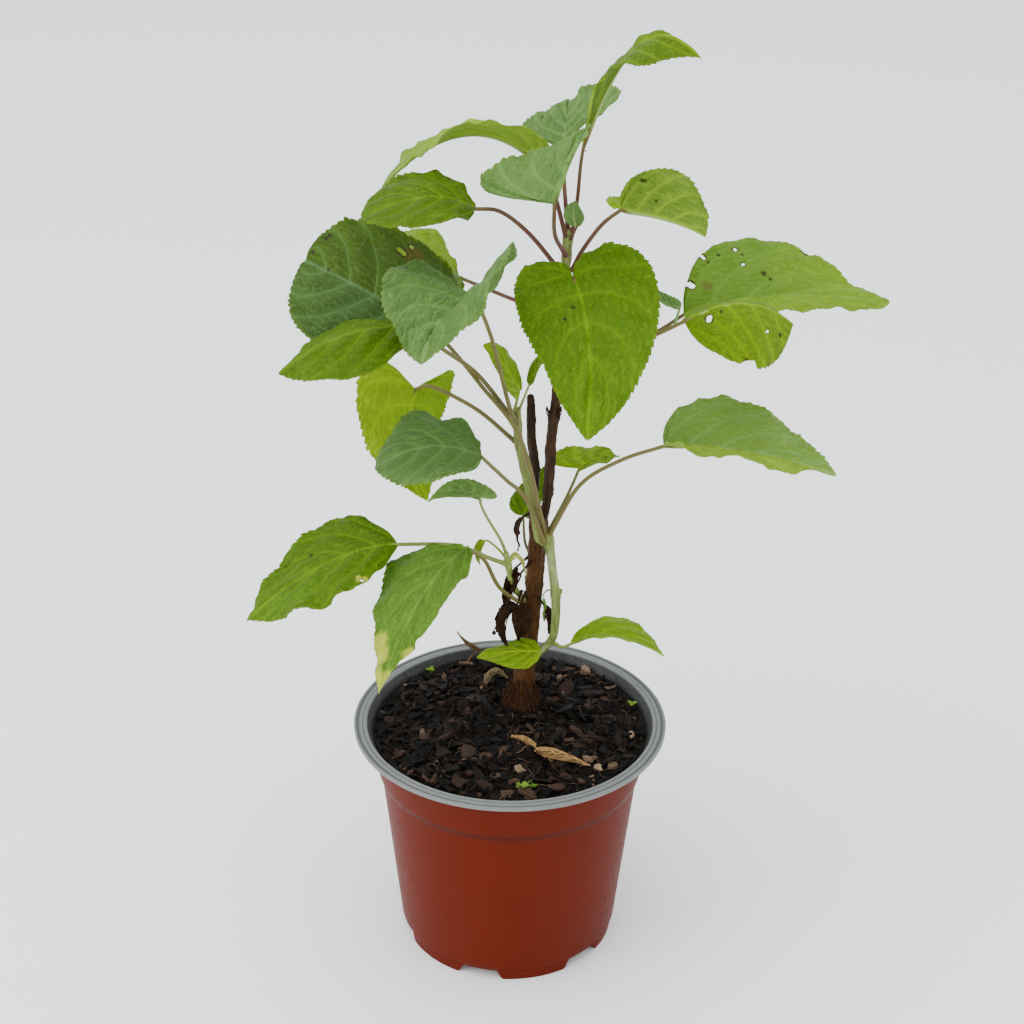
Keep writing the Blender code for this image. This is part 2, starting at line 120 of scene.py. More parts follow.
def leaf(joint, middle, tip, widths, stem, start, route=(), folds=(0, 0), folds_tip=None, roll=(0, 0),
         lobes=(0.05, 0.05), tapers=(0.4, 0.4), bases=(0, 0), slot=YOUNG_GREEN):
    """A leaf's sizes, with the plain values filled in."""
    return Leaf(joint, middle, tip, widths, folds, folds_tip or folds, roll, lobes, tapers, bases,
                stem, start, route, slot)


LEAVES = {
    # crown
    "leaf_top": leaf((32, 4, 450), (56, -6, 502), (84, -22, 500), (25, 9), "top_shoot", (27.8, 3.6, 408.7),
        [(30, 5, 425), (31, 5, 440)], (0, 60), (-30, -20), (22, -10), (0, 0.1), (0.9, 0.5), (1.5, 0)),
    "leaf_top_rear": leaf((23, 32, 444), (25, 54, 450), (27, 76, 454), (32, 23), "top_shoot",
        (25.9, 5.9, 408.8), [(24, 14, 426)], (38, 0), None, (0, 0), (0, 0.05), (0.3, 0.6), (0.1, 0),
        GREY_GREEN),
    "leaf_pale_front": leaf((18, -38, 436), (25, -25, 452), (35, -10, 466), (8, 43), "top_shoot", 396,
        [(19, -16, 414)], (60, 0), None, (0, 0), (0.1, 0.05), (0.6, 1.3), (0, 0), GREY_GREEN),
    "leaf_upper_left": leaf((10, 8, 443), (-27, 14, 453), (-66, 24, 422), (21, 22), "top_shoot",
        (24.1, 2.9, 409.0), [(18, 7, 429)], (-5, 58), (12, -12), (0, 0), (0, 0.05), (-0.1, 0.35),
        (0.5, -0.12)),
    "leaf_folded_left": leaf((-19, -18, 427), (-42, -24, 434), (-72, -28, 425), (30, 24), "top_shoot", 385,
        [(7, -4, 410), (-7, -10, 423)], (10, -12), None, (0, 0), (0.05, 0), (0.15, 0.1), (0.25, 0.15)),
    "leaf_upper_right": leaf((51, 4, 420), (73, -4, 418), (91, -12, 412), (27, 16), "top_shoot", 380,
        [(33, 2, 400), (42, 2, 413)], (80, 10), None, (0, 0), (0.08, 0.4), (0.1, 0.15), (0.2, 0)),
    "leaf_bud": leaf((30, -3, 414), (28, -6, 421), (29, -8, 428), (5, 5), "top_shoot", 401, (), (5, 5),
        None, (0, 0), (0, 0), (0.3, 0.3), (0, 0), GREY_GREEN),
    # left side
    "leaf_broad_left": leaf((-47, -14, 369), (-77, -8, 384), (-103, -2, 395), (42, 38), "right_shoot",
        (17.6, 9.2, 240.7), [(4, -6, 302), (-16, -10, 333), (-33, -12, 356)], (0, -4), None, (30, 30),
        (0.36, 0.05), (-0.15, 0), (0.0, 0.35), DEEP_GREEN),
    "leaf_back_left": leaf((-29, 56, 366), (-46, 50, 376), (-64, 42, 378), (36, 23), "top_shoot", 356,
        [(8, 24, 362), (-8, 40, 363)], (14, -5), None, (0, 0), (0.1, 0.1), (0.3, 0.3)),
    "leaf_low_pointed": leaf((-46, -46, 378), (-79, -58, 378), (-110, -62, 360), (24, 25), "centre_shoot",
        306, [(-18, -14, 341), (-34, -34, 362)], (-11, -24), None, (0, 0), (0.04, 0.04), (0.4, 0.4),
        (0.1, 0.5)),
    "leaf_grey_front": leaf((-17, -44, 390), (-33, -68, 391), (-41, -92, 378), (38, 37), "centre_shoot",
        303, [(-2, -9, 322), (-7, -22, 348), (-11, -34, 369)], (20, 60), (25, 10), (0, 0), (0.12, 0.32),
        (0.45, 0.45), (0, 0.25), GREY_GREEN),
    "leaf_back_heart": leaf((-51, 34, 312), (-54, 28, 284), (-45, 24, 252), (34, 22), "centre_shoot", 293,
        [(-19, 18, 308), (-42, 30, 315)], (0, 0), None, (0, 0), (0.32, 0.4), (0.6, 0.35)),
    "leaf_oval_front": leaf((-15, -34, 305), (-41, -40, 313), (-67, -44, 303), (31, 30), "right_shoot", 226,
        [(7, 0, 266), (-3, -12, 282)], (0, 0), None, (10, 10), (0.06, 0.02), (0.15, 0.15), (0.05, 0.3),
        DEEP_GREEN),
    "leaf_small_left": leaf((-17, -12, 272), (-29, -14, 276), (-43, -16, 271), (12, 10), "low_shoot",
        (-3.1, 6.7, 230.8), [(-6, 0, 242), (-14, -8, 261)], (20, 15), None, (0, 0), (0.6, 0.1),
        (0.35, 0.35), (0, 0), GREY_GREEN),
    "leaf_long_left": leaf((-58, -24, 251), (-95, -28, 241), (-136, -34, 211), (28, 27), "low_shoot", 222,
        [(-12, 0, 231), (-22, -6, 239), (-35, -12, 245)], (2, -2), None, (14, 14), (0.02, 0.02), (0.5, 0.5),
        (0.35, 0.5)),
    "leaf_low_front": leaf((-23, -30, 252), (-45, -56, 237), (-65, -84, 199), (32, 17), "trunk", 188,
        [(-6, 2, 212), (-14, -14, 237)], (0, 0), None, (-12, -6), (0, 0), (0.5, 0.45), (0.05, 0.05)),
    # middle
    "leaf_heart_front": leaf((28, -24, 395), (35, -56, 374), (34, -88, 339), (32, 37), "top_shoot", 375,
        [(27, -10, 390)], (4, 6), None, (0, 0), (0.3, 0.36), (0.5, 0.42), (0.3, 0.24)),
    "leaf_behind_left": leaf((6, 34, 239), (11, 40, 249), (20, 50, 262), (9, 11), "trunk", 212,
        [(7, 30, 226)], (5, 5), None, (0, 0), (0.1, 0.1), (0.35, 0.35)),
    "leaf_behind_right": leaf((35, 20, 274), (46, 24, 278), (56, 30, 276), (10, 20), "right_shoot",
        (19.6, 11.8, 241.4), [(29, 16, 260)], (20, 5), None, (0, 0), (0.1, 0.7), (0.4, 0.4)),
    "leaf_young_left": leaf((3, 0, 326), (-5, -4, 341), (-15, -8, 354), (12, 10), "centre_shoot",
        (1.0, 3.2, 314.9), (), (5, 0), None, (35, 35), (0.1, 0.1), (0.3, 0.3)),
    "leaf_young_right": leaf((8, 4, 328), (12, 5, 338), (17, 7, 346), (7, 5), "centre_shoot",
        (3.5, 4.9, 314.7), (), (10, 10), None, (0, 0), (0, 0), (0.3, 0.3)),
    "leaf_rear": leaf((30, 34, 352), (40, 66, 356), (48, 96, 338), (25, 25), "old_cane", 328,
        [(27, 24, 344)], (8, 8), None, (0, 0), (0.2, 0.2), (0.5, 0.5)),
    # right side
    "leaf_big_right": leaf((86, 26, 358), (133, 32, 366), (190, 26, 366), (24, 44), "top_shoot", 350,
        [(54, 20, 343), (72, 24, 349)], (27, 35), (-12, 5), (0, 0), (0.05, 0), (0.1, 0.62), (0.1, 0.4),
        GREY_GREEN),
    "leaf_ragged_right": leaf((82, -20, 372), (111, -16, 380), (137, -14, 368), (34, 18), "old_cane", 340,
        [(53, -4, 351), (70, -14, 363)], (-50, -20), (-42, -20), (0, 0), (0.02, 0.05), (-0.3, -0.1),
        (-0.12, 0.1)),
    "leaf_drooping_right": leaf((76, -12, 302), (116, -20, 303), (160, -34, 297), (20, 37), "right_shoot",
        (20.4, 8.8, 241.5), [(35, 4, 272), (55, -4, 290)], (47, 0), (10, 0), (-20, -18), (0.05, 0.05),
        (0.45, 0.45), (0.15, 0.08), GREY_GREEN),
    # foot
    "leaf_foot_front": leaf((16, 0, 174), (0, 1, 173), (-18, 0, 170), (12, 15), "right_shoot", 170, (),
        (0, 0), None, (6, 6), (0, 0.05), (0.5, 0.5), (0.05, 0.05)),
    "leaf_foot_right": leaf((33, 8, 175), (55, 8, 180), (83, 2, 171), (12, 17), "right_shoot", 172,
        [(28, 9, 172)], (27, 15), None, (0, 0), (0, 0), (0.45, 0.45), (0.2, 0.7)),
}


# ---------------------------------------------------------------- sizes and colours


def colour_property(name, description, default):
    """A colour that the user can change."""
    return FloatVectorProperty(
        name=name, description=description, default=default, subtype="COLOR", min=0, max=1)


def length_property(name, description, default):
    """A length in metres that the user can change."""
    return FloatProperty(
        name=name, description=description, default=default, min=0, unit="LENGTH", precision=5)


def angle_property(name, description, degrees):
    """An angle that the user can change."""
    return FloatProperty(
        name=name, description=description, default=math.radians(degrees), subtype="ANGLE")


def count_property(name, description, default):
    """A number of things that the user can change."""
    return IntProperty(name=name, description=description, default=default, min=0)


class HYD_PotSettings(bpy.types.PropertyGroup):
    """Sizes and colours of the pot and of what fills it"""

    plastic: colour_property("Plastic", "Colour of the pot's wall", (0.095, 0.0088, 0.0018))
    lip: colour_property("Lip", "Colour of the lip and the inside of the pot", (0.135, 0.142, 0.136))
    chip_count: count_property("Bark chips", "Number of bark chips on the mix", 1150)
    grain_count: count_property("Grains", "Number of fine grains on the mix", 2300)
    fibre_count: count_property("Fibres", "Number of root fibres on the mix", 420)
    mix_dark: colour_property("Dark mix", "Colour of the wet, fine mix", (0.0020, 0.0014, 0.0009))


class HYD_StemSettings(bpy.types.PropertyGroup):
    """Colours and relief of the trunk, canes and shoots"""

    bark: colour_property("Bark", "Colour of the trunk's bark", (0.078, 0.0300, 0.0056))
    dead: colour_property("Dead wood", "Colour of dead canes", (0.034, 0.0155, 0.0050))
    shoot: colour_property("Shoot", "Colour of green shoots", (0.19, 0.235, 0.060))
    bark_relief: length_property("Bark relief", "Height of the strips of bark", 0.00055)


class HYD_LeafSettings(bpy.types.PropertyGroup):
    """Fineness and relief of the leaves, and colours of their stalks"""

    thickness: length_property("Thickness", "Thickness of a blade", 0.00045)
    tooth_pitch: length_property("Tooth pitch", "Distance between the teeth of the margin", 0.0036)
    tooth_height: length_property("Tooth height", "How far a tooth stands out", 0.0013)
    quilting: length_property("Quilting", "How far the blade bulges between its veins", 0.0015)
    waviness: length_property("Waviness", "How far the margin waves up and down", 0.0022)
    stalk: colour_property("Stalk", "Colour of a leaf's stalk", (0.13, 0.135, 0.022))
    stalk_green: colour_property("Green stalk", "Colour of a young leaf's stalk", (0.20, 0.26, 0.045))
    stalk_flush: colour_property("Flushed stalk", "Colour of a stalk's sunny side", (0.085, 0.022, 0.012))


class HYD_StageSettings(bpy.types.PropertyGroup):
    """The floor and the camera"""

    floor: colour_property("Floor", "Colour of the floor", (0.92, 0.92, 0.91))
    camera_distance: length_property("Camera distance", "Distance from the camera to its target", 1.036)
    elevation: angle_property("Elevation", "The camera's angle above level", 26.6)
    roll: angle_property("Roll", "The camera's roll", 0.6)
    target_height: length_property("Target height", "Height that the camera looks at", 0.258)


# How each leaf looks: the tints of its right and left half, a tint towards its tip and how much
# of it, how glossy it is, its holes and its marks. The tints paint light as well as the leaf's own
# green: a half that light shines through is painted a brighter yellow-green, a glossy half is painted
# grey-green for the sky's sheen, and the two halves of a leaf often differ for how the light falls
# on them. A hole or a mark lies at (side, t, s), with a radius in mm, where t and s are as in
# half_blade. The kinds of mark are the keys of MARKS.
Look = namedtuple("Look", "right left tip tip_share gloss holes marks")


def look(right, left=None, tip=None, tip_share=0.0, gloss=0.5, holes=(), **marks):
    """A leaf's look, with the plain values filled in."""
    return Look(right, left or right, tip or right, tip_share, gloss, holes, marks)


# Leaf tints. Some also paint light, as noted below.
DARK = (0.021, 0.05, 0.001)
OLIVE = (0.054, 0.102, 0.0003)
DEEP = (0.060, 0.138, 0.022)
DUSK = (0.062, 0.134, 0.036)
MOSS = (0.074, 0.152, 0.001)
FRESH = (0.088, 0.188, 0.001)
LIME = (0.134, 0.242, 0.001)
# Lime, brightened in part as painted glow of light shining through the leaf
LIME_AND_PAINTED_GLOW = (0.21, 0.36, 0.003)
# Painted glow of light shining through a backlit leaf
PAINTED_BACKLIT_GLOW = (0.30, 0.45, 0.006)
SAGE = (0.108, 0.228, 0.022)
# Grey-green, partly the leaf's own and partly painted sheen of the sky
GREY_AND_PAINTED_SHEEN = (0.104, 0.212, 0.046)
# Pale grey-green, partly the leaf's own and partly painted sheen of the sky
PALE_AND_PAINTED_SHEEN = (0.160, 0.305, 0.064)

LOOKS = {
    "leaf_top": look(MOSS, LIME, spot=[(1, 0.4, 0.5, 0.7)]),
    "leaf_top_rear": look(GREY_AND_PAINTED_SHEEN, GREY_AND_PAINTED_SHEEN, PALE_AND_PAINTED_SHEEN, 0.3, spot=[(-1, 0.57, 0.70, 1.1)]),
    "leaf_pale_front": look(PALE_AND_PAINTED_SHEEN, GREY_AND_PAINTED_SHEEN, PALE_AND_PAINTED_SHEEN, 0.4, gloss=0.42),
    "leaf_upper_left": look(
        PAINTED_BACKLIT_GLOW, LIME_AND_PAINTED_GLOW, GREY_AND_PAINTED_SHEEN, 1.0, fleck=[(1, 0.45, 0.20, 1.5), (-1, 0.36, 0.35, 1.2)]),
    "leaf_folded_left": look(MOSS),
    "leaf_upper_right": look(
        LIME, LIME_AND_PAINTED_GLOW, LIME, 0.4, spot=[(1, 0.39, 0.72, 1.4), (1, 0.53, 0.28, 0.9)]),
    "leaf_bud": look(PALE_AND_PAINTED_SHEEN, GREY_AND_PAINTED_SHEEN),
    "leaf_broad_left": look(
        OLIVE, DUSK, MOSS, 0.35, gloss=0.45,
        holes=[(1, 0.55, 0.74, 2.3), (1, 0.53, 0.88, 1.3), (1, 0.50, 0.73, 1.3)],
        brown=[(1, 0.51, 0.80, 5.0)],
        spot=[(1, 0.86, 0.80, 1.5), (1, 0.88, 0.74, 1.2), (1, 0.95, 0.48, 1.2), (1, 0.84, 0.03, 0.9)]),
    "leaf_back_left": look(LIME_AND_PAINTED_GLOW, MOSS, LIME_AND_PAINTED_GLOW, 0.5),
    "leaf_low_pointed": look(MOSS, MOSS, FRESH, 0.5, spot=[(1, 0.44, 0.72, 2.0)]),
    "leaf_grey_front": look(GREY_AND_PAINTED_SHEEN, gloss=0.42),
    "leaf_back_heart": look(PAINTED_BACKLIT_GLOW, LIME_AND_PAINTED_GLOW),
    "leaf_oval_front": look(GREY_AND_PAINTED_SHEEN, gloss=0.42),
    "leaf_small_left": look(PALE_AND_PAINTED_SHEEN),
    "leaf_long_left": look(
        MOSS, FRESH, SAGE, 0.3, holes=[(-1, 0.39, 0.90, 0.8)],
        spot=[(1, 0.63, 0.50, 1.4)], yellow=[(-1, 0.41, 0.82, 1.8), (-1, 0.37, 0.92, 1.6)]),
    "leaf_low_front": look(
        SAGE, SAGE, FRESH, 0.3,
        yellow=[(1, 0.72, 0.85, 4.2), (1, 0.79, 0.75, 4.0), (1, 0.86, 0.95, 3.6), (-1, 0.70, 1.0, 2.4),
                (-1, 0.82, 1.0, 2.6), (1, 0.95, 0.6, 4.0)]),
    "leaf_heart_front": look(
        FRESH, FRESH, LIME, 0.3, gloss=0.4, spot=[(1, 0.50, 0.16, 1.3), (1, 0.55, 0.34, 1.1)]),
    "leaf_behind_left": look(FRESH, MOSS),
    "leaf_behind_right": look(LIME, LIME_AND_PAINTED_GLOW),
    "leaf_young_left": look(LIME_AND_PAINTED_GLOW),
    "leaf_young_right": look(LIME_AND_PAINTED_GLOW, LIME),
    "leaf_rear": look(DEEP, DARK),
    "leaf_big_right": look(
        LIME_AND_PAINTED_GLOW, SAGE, LIME_AND_PAINTED_GLOW, 1.0, gloss=0.42,
        holes=[(-1, 0.30, 0.48, 2.3), (-1, 0.32, 0.86, 1.5), (-1, 0.44, 0.78, 1.3), (-1, 0.49, 0.56, 1.1)],
        brown=[(-1, 0.39, 0.30, 3.4)],
        spot=[(-1, 0.57, 0.42, 1.7), (-1, 0.60, 0.36, 1.2), (-1, 0.39, 0.76, 1.0), (-1, 0.60, 0.98, 1.5),
              (-1, 0.36, 0.70, 0.9), (-1, 0.47, 0.70, 0.8)]),
    "leaf_ragged_right": look(
        LIME, holes=[(1, 0.42, 0.15, 1.8), (1, 0.78, 0.42, 0.8), (1, 0.51, 0.98, 3.2), (1, 0.57, 1.0, 2.2)],
        spot=[(1, 0.51, 0.10, 1.0), (1, 0.90, 0.45, 1.4)], brown=[(1, 0.80, 0.98, 1.8)]),
    "leaf_drooping_right": look(PAINTED_BACKLIT_GLOW, PALE_AND_PAINTED_SHEEN, GREY_AND_PAINTED_SHEEN, 0.2, gloss=0.42),
    "leaf_foot_front": look(LIME, LIME_AND_PAINTED_GLOW),
    "leaf_foot_right": look(LIME_AND_PAINTED_GLOW, LIME_AND_PAINTED_GLOW, LIME, 0.4, brown=[(1, 0.69, 1.0, 1.6)]),
}


# ---------------------------------------------------------------- shader maths


def times(colour, *factors):
    """A colour with its three parts multiplied by one factor or by three, and kept up to 1."""
    return tuple(min(1.0, part * factor) for part, factor in zip(colour, factors * (3 // len(factors))))


class Value:
    """A shader socket that can be added, multiplied and so on with others and with numbers."""

    def __init__(self, net, socket):
        self.net, self.socket = net, socket

    def __add__(self, other):
        return self.net.maths("ADD", self, other)

    def __sub__(self, other):
        return self.net.maths("SUBTRACT", self, other)

    def __mul__(self, other):
        return self.net.maths("MULTIPLY", self, other)

    def __truediv__(self, other):
        return self.net.maths("DIVIDE", self, other)

    def __radd__(self, other):
        return self.net.maths("ADD", other, self)

    def __rsub__(self, other):
        return self.net.maths("SUBTRACT", other, self)

    def __rmul__(self, other):
        return self.net.maths("MULTIPLY", other, self)

    def __rtruediv__(self, other):
        return self.net.maths("DIVIDE", other, self)

    def clamp(self):
        """The value kept between 0 and 1."""
        return self.net.maths("MAXIMUM", self.net.maths("MINIMUM", self, 1.0), 0.0)

    def below(self, edge, soft):
        """1 where the value is under the edge, falling to 0 within soft above it."""
        return ((edge + soft - self) / soft).clamp()

    def above(self, edge, soft):
        """0 under the edge, rising to 1 within soft above it."""
        return ((self - edge) / soft).clamp()

    def folded(self):
        """The distance to the nearest whole number."""
        return self.net.maths("PINGPONG", self, 0.5)

    def size(self):
        """The value without its sign."""
        return self.net.maths("ABSOLUTE", self)


class Net:
    """A material's node tree, with short ways to add nodes."""

    def __init__(self, name):
        self.material = bpy.data.materials.new(name)
        self.material.use_nodes = True
        self.tree = self.material.node_tree
        self.tree.nodes.clear()

    def node(self, kind, inputs=(), **settings):
        """A node with its settings and inputs. An input is a number, colour, vector or Value."""
        node = self.tree.nodes.new(kind)
        for key, value in settings.items():
            setattr(node, key, value)
        for key, value in dict(inputs).items():
            socket = node.inputs[key]
            if isinstance(value, Value):
                self.tree.links.new(value.socket, socket)
            elif socket.type == "RGBA":
                socket.default_value = (*value, 1.0)
            else:
                socket.default_value = value
        return node

    def value(self, node, output=0):
        return Value(self, node.outputs[output])

    def maths(self, operation, first, second=0.0):
        return self.value(self.node("ShaderNodeMath", {0: first, 1: second}, operation=operation))

    def mix(self, factor, first, second, blend="MIX"):
        """A colour between two colours."""
        inputs = {0: factor, 6: first, 7: second}
        node = self.node("ShaderNodeMix", inputs, data_type="RGBA", blend_type=blend, clamp_factor=True)
        return self.value(node, 2)

    def vector(self, operation, first, second, output=0):
        node = self.node("ShaderNodeVectorMath", {0: first, 1: second}, operation=operation)
        return self.value(node, output)

    def stretch(self, where, *factors):
        """A place with its three parts multiplied: a pattern is drawn out where a factor is small."""
        return self.vector("MULTIPLY", where, factors)

    def distance(self, where, centre=(0.0, 0.0, 0.0)):
        return self.vector("DISTANCE", where, centre, "Value")

    def place(self):
        """The point's place on the object, in millimetres."""
        return self.stretch(self.value(self.node("ShaderNodeTexCoord"), "Object"), 1 / MM, 1 / MM, 1 / MM)

    def attribute(self, name):
        return self.value(self.node("ShaderNodeAttribute", attribute_name=name), "Fac")

    def uv(self, name, scale):
        return self.stretch(self.value(self.node("ShaderNodeUVMap", uv_map=name)), scale, scale, scale)

    def part(self, vector, axis):
        return self.value(self.node("ShaderNodeSeparateXYZ", {0: vector}), axis)

    def noise(self, where, size, detail=4.0, roughness=0.55, distortion=0.0, output=0):
        """Smooth noise from 0 to 1 with features of about the given size."""
        inputs = {"Vector": where, "Scale": 1.0 / size, "Detail": detail, "Roughness": roughness,
                  "Distortion": distortion}
        return self.value(self.node("ShaderNodeTexNoise", inputs), output)

    def cells(self, where, size, feature="F1"):
        """Distance to the middles of random cells, or to their walls, in cell sizes."""
        inputs = {"Vector": where, "Scale": 1.0 / size}
        return self.value(self.node("ShaderNodeTexVoronoi", inputs, feature=feature))

    def bump(self, height, distance=1.0, strength=1.0):
        """A normal from a height whose unit is the distance in millimetres."""
        inputs = {"Height": height, "Distance": distance * MM, "Strength": strength}
        return self.value(self.node("ShaderNodeBump", inputs))

    def ramp(self, factor, stops):
        """A colour from a list of (place, colour) stops."""
        node = self.node("ShaderNodeValToRGB", {0: factor})
        elements = node.color_ramp.elements
        while len(elements) < len(stops):
            elements.new(0.5)
        for element, (place, colour) in zip(elements, stops):
            element.position = place
            element.color = (*colour, 1.0)
        return self.value(node)

    def surface(self, colour, roughness, normal=None, specular=0.5, translucent=0.0, through=None):
        """Ends the material in a Principled surface, with light passing through it if asked."""
        inputs = {"Base Color": colour, "Roughness": roughness, "Specular IOR Level": specular}
        if normal is not None:
            inputs["Normal"] = normal
        shader = self.value(self.node("ShaderNodeBsdfPrincipled", inputs))
        if translucent:
            back = self.value(self.node("ShaderNodeBsdfTranslucent", {"Color": through}))
            shader = self.value(self.node("ShaderNodeMixShader", {0: translucent, 1: shader, 2: back}))
        self.node("ShaderNodeOutputMaterial", {"Surface": shader})
        return self.material


# ---------------------------------------------------------------- mesh helpers


def unit(vectors):
    """Vectors scaled to length one."""
    return vectors / np.maximum(np.linalg.norm(vectors, axis=-1, keepdims=True), 1e-9)


def fade(value, start, end):
    """0 at the start, 1 at the end, in a straight line between them and level beyond."""
    return np.clip((value - start) / (end - start), 0, 1)


def circle(count):
    """Even angles round a circle."""
    return np.arange(count) * 2 * math.pi / count


def distances(path):
    """Distance along a path to each of its points."""
    return np.concatenate([[0], np.cumsum(np.linalg.norm(np.diff(path, axis=0), axis=1))])


def smooth_path(points, count):
    """count + 1 points on a Catmull-Rom curve through the given points."""
    knots = np.asarray(points, float)
    knots = np.vstack([2 * knots[0] - knots[1], knots, 2 * knots[-1] - knots[-2]])
    spans = len(knots) - 3
    place = np.linspace(0, spans, count + 1)
    span = np.minimum(place.astype(int), spans - 1)
    f = (place - span)[:, None]
    a, b, c, d = (knots[span + k] for k in range(4))
    return 0.5 * (2 * b + (c - a) * f + (2 * a - 5 * b + 4 * c - d) * f**2 + (3 * b - a - 3 * c + d) * f**3)


def ripple(points, size, seed, layers=4):
    """Smooth noise of about -1 to 1.

    Each layer adds the sines of four waves along random directions, themselves bent by sines. A
    layer is 1.9 times finer than the last and about half as strong.
    """
    draw = np.random.default_rng(seed)
    total = np.zeros(points.shape[:-1])
    for layer in range(layers):
        ways = unit(draw.normal(size=(4, 3)))
        turn = points @ ways.T * (2 * math.pi / size * 1.9**layer) + draw.uniform(0, 2 * math.pi, 4)
        turn = turn + 1.2 * np.sin(np.roll(turn, 1, -1) * 0.61)
        total += np.sin(turn).sum(-1) / 2.4 * 0.52**layer
    return total


def grid_quads(rows, columns, closed_rows=False, closed_columns=False, first=0, flip=False):
    """Quads of a grid of points numbered row by row from the first."""
    i = np.arange(rows if closed_rows else rows - 1)[:, None]
    j = np.arange(columns if closed_columns else columns - 1)[None, :]
    after, beside = (i + 1) % rows * columns, (j + 1) % columns
    a, b, c, d = i * columns + j, i * columns + beside, after + beside, after + j
    return np.stack([a, d, c, b] if flip else [a, b, c, d], -1).reshape(-1, 4) + first


def tube_ends(rings, sides):
    """The two caps of a tube whose points are numbered ring by ring."""
    return [list(range(sides))[::-1], list(range((rings - 1) * sides, rings * sides))]


class Shape:
    """Points, faces and values of a mesh that is put together from parts."""

    def __init__(self):
        self.points, self.quads, self.caps, self.values = [], [], [], []
        self.slots, self.cap_slots = [], []
        self.count = 0

    def add(self, points, quads, caps=(), slots=0, cap_slots=None, **values):
        """Adds a part: its points, quads, caps with more corners, their slots, and values."""
        self.points.append(np.reshape(points, (-1, 3)))
        self.quads.append(np.reshape(quads, (-1, 4)) + self.count)
        self.slots.append(np.broadcast_to(slots, len(self.quads[-1])))
        self.caps.extend([corner + self.count for corner in cap] for cap in caps)
        self.cap_slots.extend(cap_slots or [0] * len(caps))
        self.values.append(values)
        self.count += len(self.points[-1])

    def value(self, name):
        """A value at every point, which is 0 in the parts that don't have it."""
        parts = [part.get(name, 0.0) for part in self.values]
        columns = (2,) if any(np.ndim(part) > 1 for part in parts) else ()
        return np.concatenate([
            np.broadcast_to(part, (len(points), *columns)) for part, points in zip(parts, self.points)])

    def build(self, name, materials, merge=0.0, sharp=None):
        """Makes the object. A value with two columns becomes a UV map, any other an attribute."""
        mesh = bpy.data.meshes.new(name)
        faces = np.vstack(self.quads).tolist() + self.caps
        mesh.from_pydata((np.vstack(self.points) * MM).tolist(), [], faces)
        slots = np.concatenate([*self.slots, self.cap_slots]).astype(int)
        mesh.polygons.foreach_set("material_index", slots)
        corners = np.zeros(len(mesh.loops), int)
        mesh.loops.foreach_get("vertex_index", corners)
        for key in sorted({key for part in self.values for key in part}):
            value = self.value(key)
            if value.ndim > 1:
                mesh.uv_layers.new(name=key).data.foreach_set("uv", value[corners].ravel())
            else:
                mesh.attributes.new(key, "FLOAT", "POINT").data.foreach_set("value", value)
        if merge:
            work = bmesh.new()
            work.from_mesh(mesh)
            bmesh.ops.remove_doubles(work, verts=work.verts, dist=merge * MM)
            bmesh.ops.dissolve_degenerate(work, edges=work.edges, dist=merge * MM)
            work.to_mesh(mesh)
            work.free()
        for material in materials:
            mesh.materials.append(material)
        mesh.shade_smooth()
        if sharp:
            mesh.set_sharp_from_angle(angle=math.radians(sharp))
        mesh.update()
        item = bpy.data.objects.new(name, mesh)
        bpy.context.scene.collection.objects.link(item)
        return item


def add_tube(shape, path, radii, sides, relief=0.0, **values):
    """Adds a tube with flat ends: rings of points round a path, at its radii plus a relief.

    A ring's sideways direction is the last ring's less its part along the path, so the rings turn
    with the path and never twist.
    """
    path = np.asarray(path, float)
    tangents = unit(np.gradient(path, axis=0))
    side = unit(np.cross(tangents[0], (0.3, 1.0, 0.2)))
    frames = []
    for tangent in tangents:
        side = unit(side - tangent * np.dot(side, tangent))
        frames.append((side, np.cross(tangent, side)))
    sideways, upwards = np.swapaxes(frames, 0, 1)[:, :, None]
    angles = circle(sides)[:, None]
    reach = np.asarray(radii, float)[:, None] + relief
    points = path[:, None] + reach[..., None] * (np.cos(angles) * sideways + np.sin(angles) * upwards)
    count = len(path)
    shape.add(points, grid_quads(count, sides, closed_columns=True), tube_ends(count, sides), **values)


def finish_piece(item, *nodes, slot):
    """Fixes a piece to the plant's body and has it stand for the named solids; its slot is not used."""
    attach(item, "root")
    if nodes:
        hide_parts(*nodes)


# ---------------------------------------------------------------- the rule of the solids


def stem_radii(stem, count):
    """A stem's radius at even shares of its line."""
    return np.interp(np.linspace(0, 1, count), np.linspace(0, 1, len(stem.radii)), stem.radii)


def stem_at(name, height):
    """A stem's centre, direction and radius where it passes a height."""
    stem = STEMS[name]
    line = smooth_path(stem.line, 60)
    k = int(np.argmin(np.abs(line[:, 2] - height)))
    return line[k], unit(np.gradient(line, axis=0))[k], stem_radii(stem, len(line))[k]


def midrib(item, share):
    """Points and directions at shares of the midrib, a parabola through its middle."""
    joint, middle, tip = (np.asarray(p, float) for p in (item.joint, item.middle, item.tip))
    handle = 2 * middle - (joint + tip) / 2
    s = np.asarray(share, float)[..., None]
    points = (1 - s) ** 2 * joint + 2 * s * (1 - s) * handle + s * s * tip
    return points, unit(2 * (1 - s) * (handle - joint) + 2 * s * (tip - handle))


def blade_length(item):
    """Length of a leaf's midrib."""
    return distances(midrib(item, np.linspace(0, 1, 41))[0])[-1]


def midrib_frame(item, share):
    """Midrib points with their directions, right-hand and upward vectors."""
    points, along = midrib(item, share)
    level = unit(np.cross(np.subtract(item.tip, item.joint), (0, 0, 1.0)))
    up = unit(np.cross(level, along))
    right = np.cross(along, up)
    roll = np.radians(item.roll[0] + (item.roll[1] - item.roll[0]) * np.asarray(share))[..., None]
    return points, along, right * np.cos(roll) + up * np.sin(roll), up * np.cos(roll) - right * np.sin(roll)


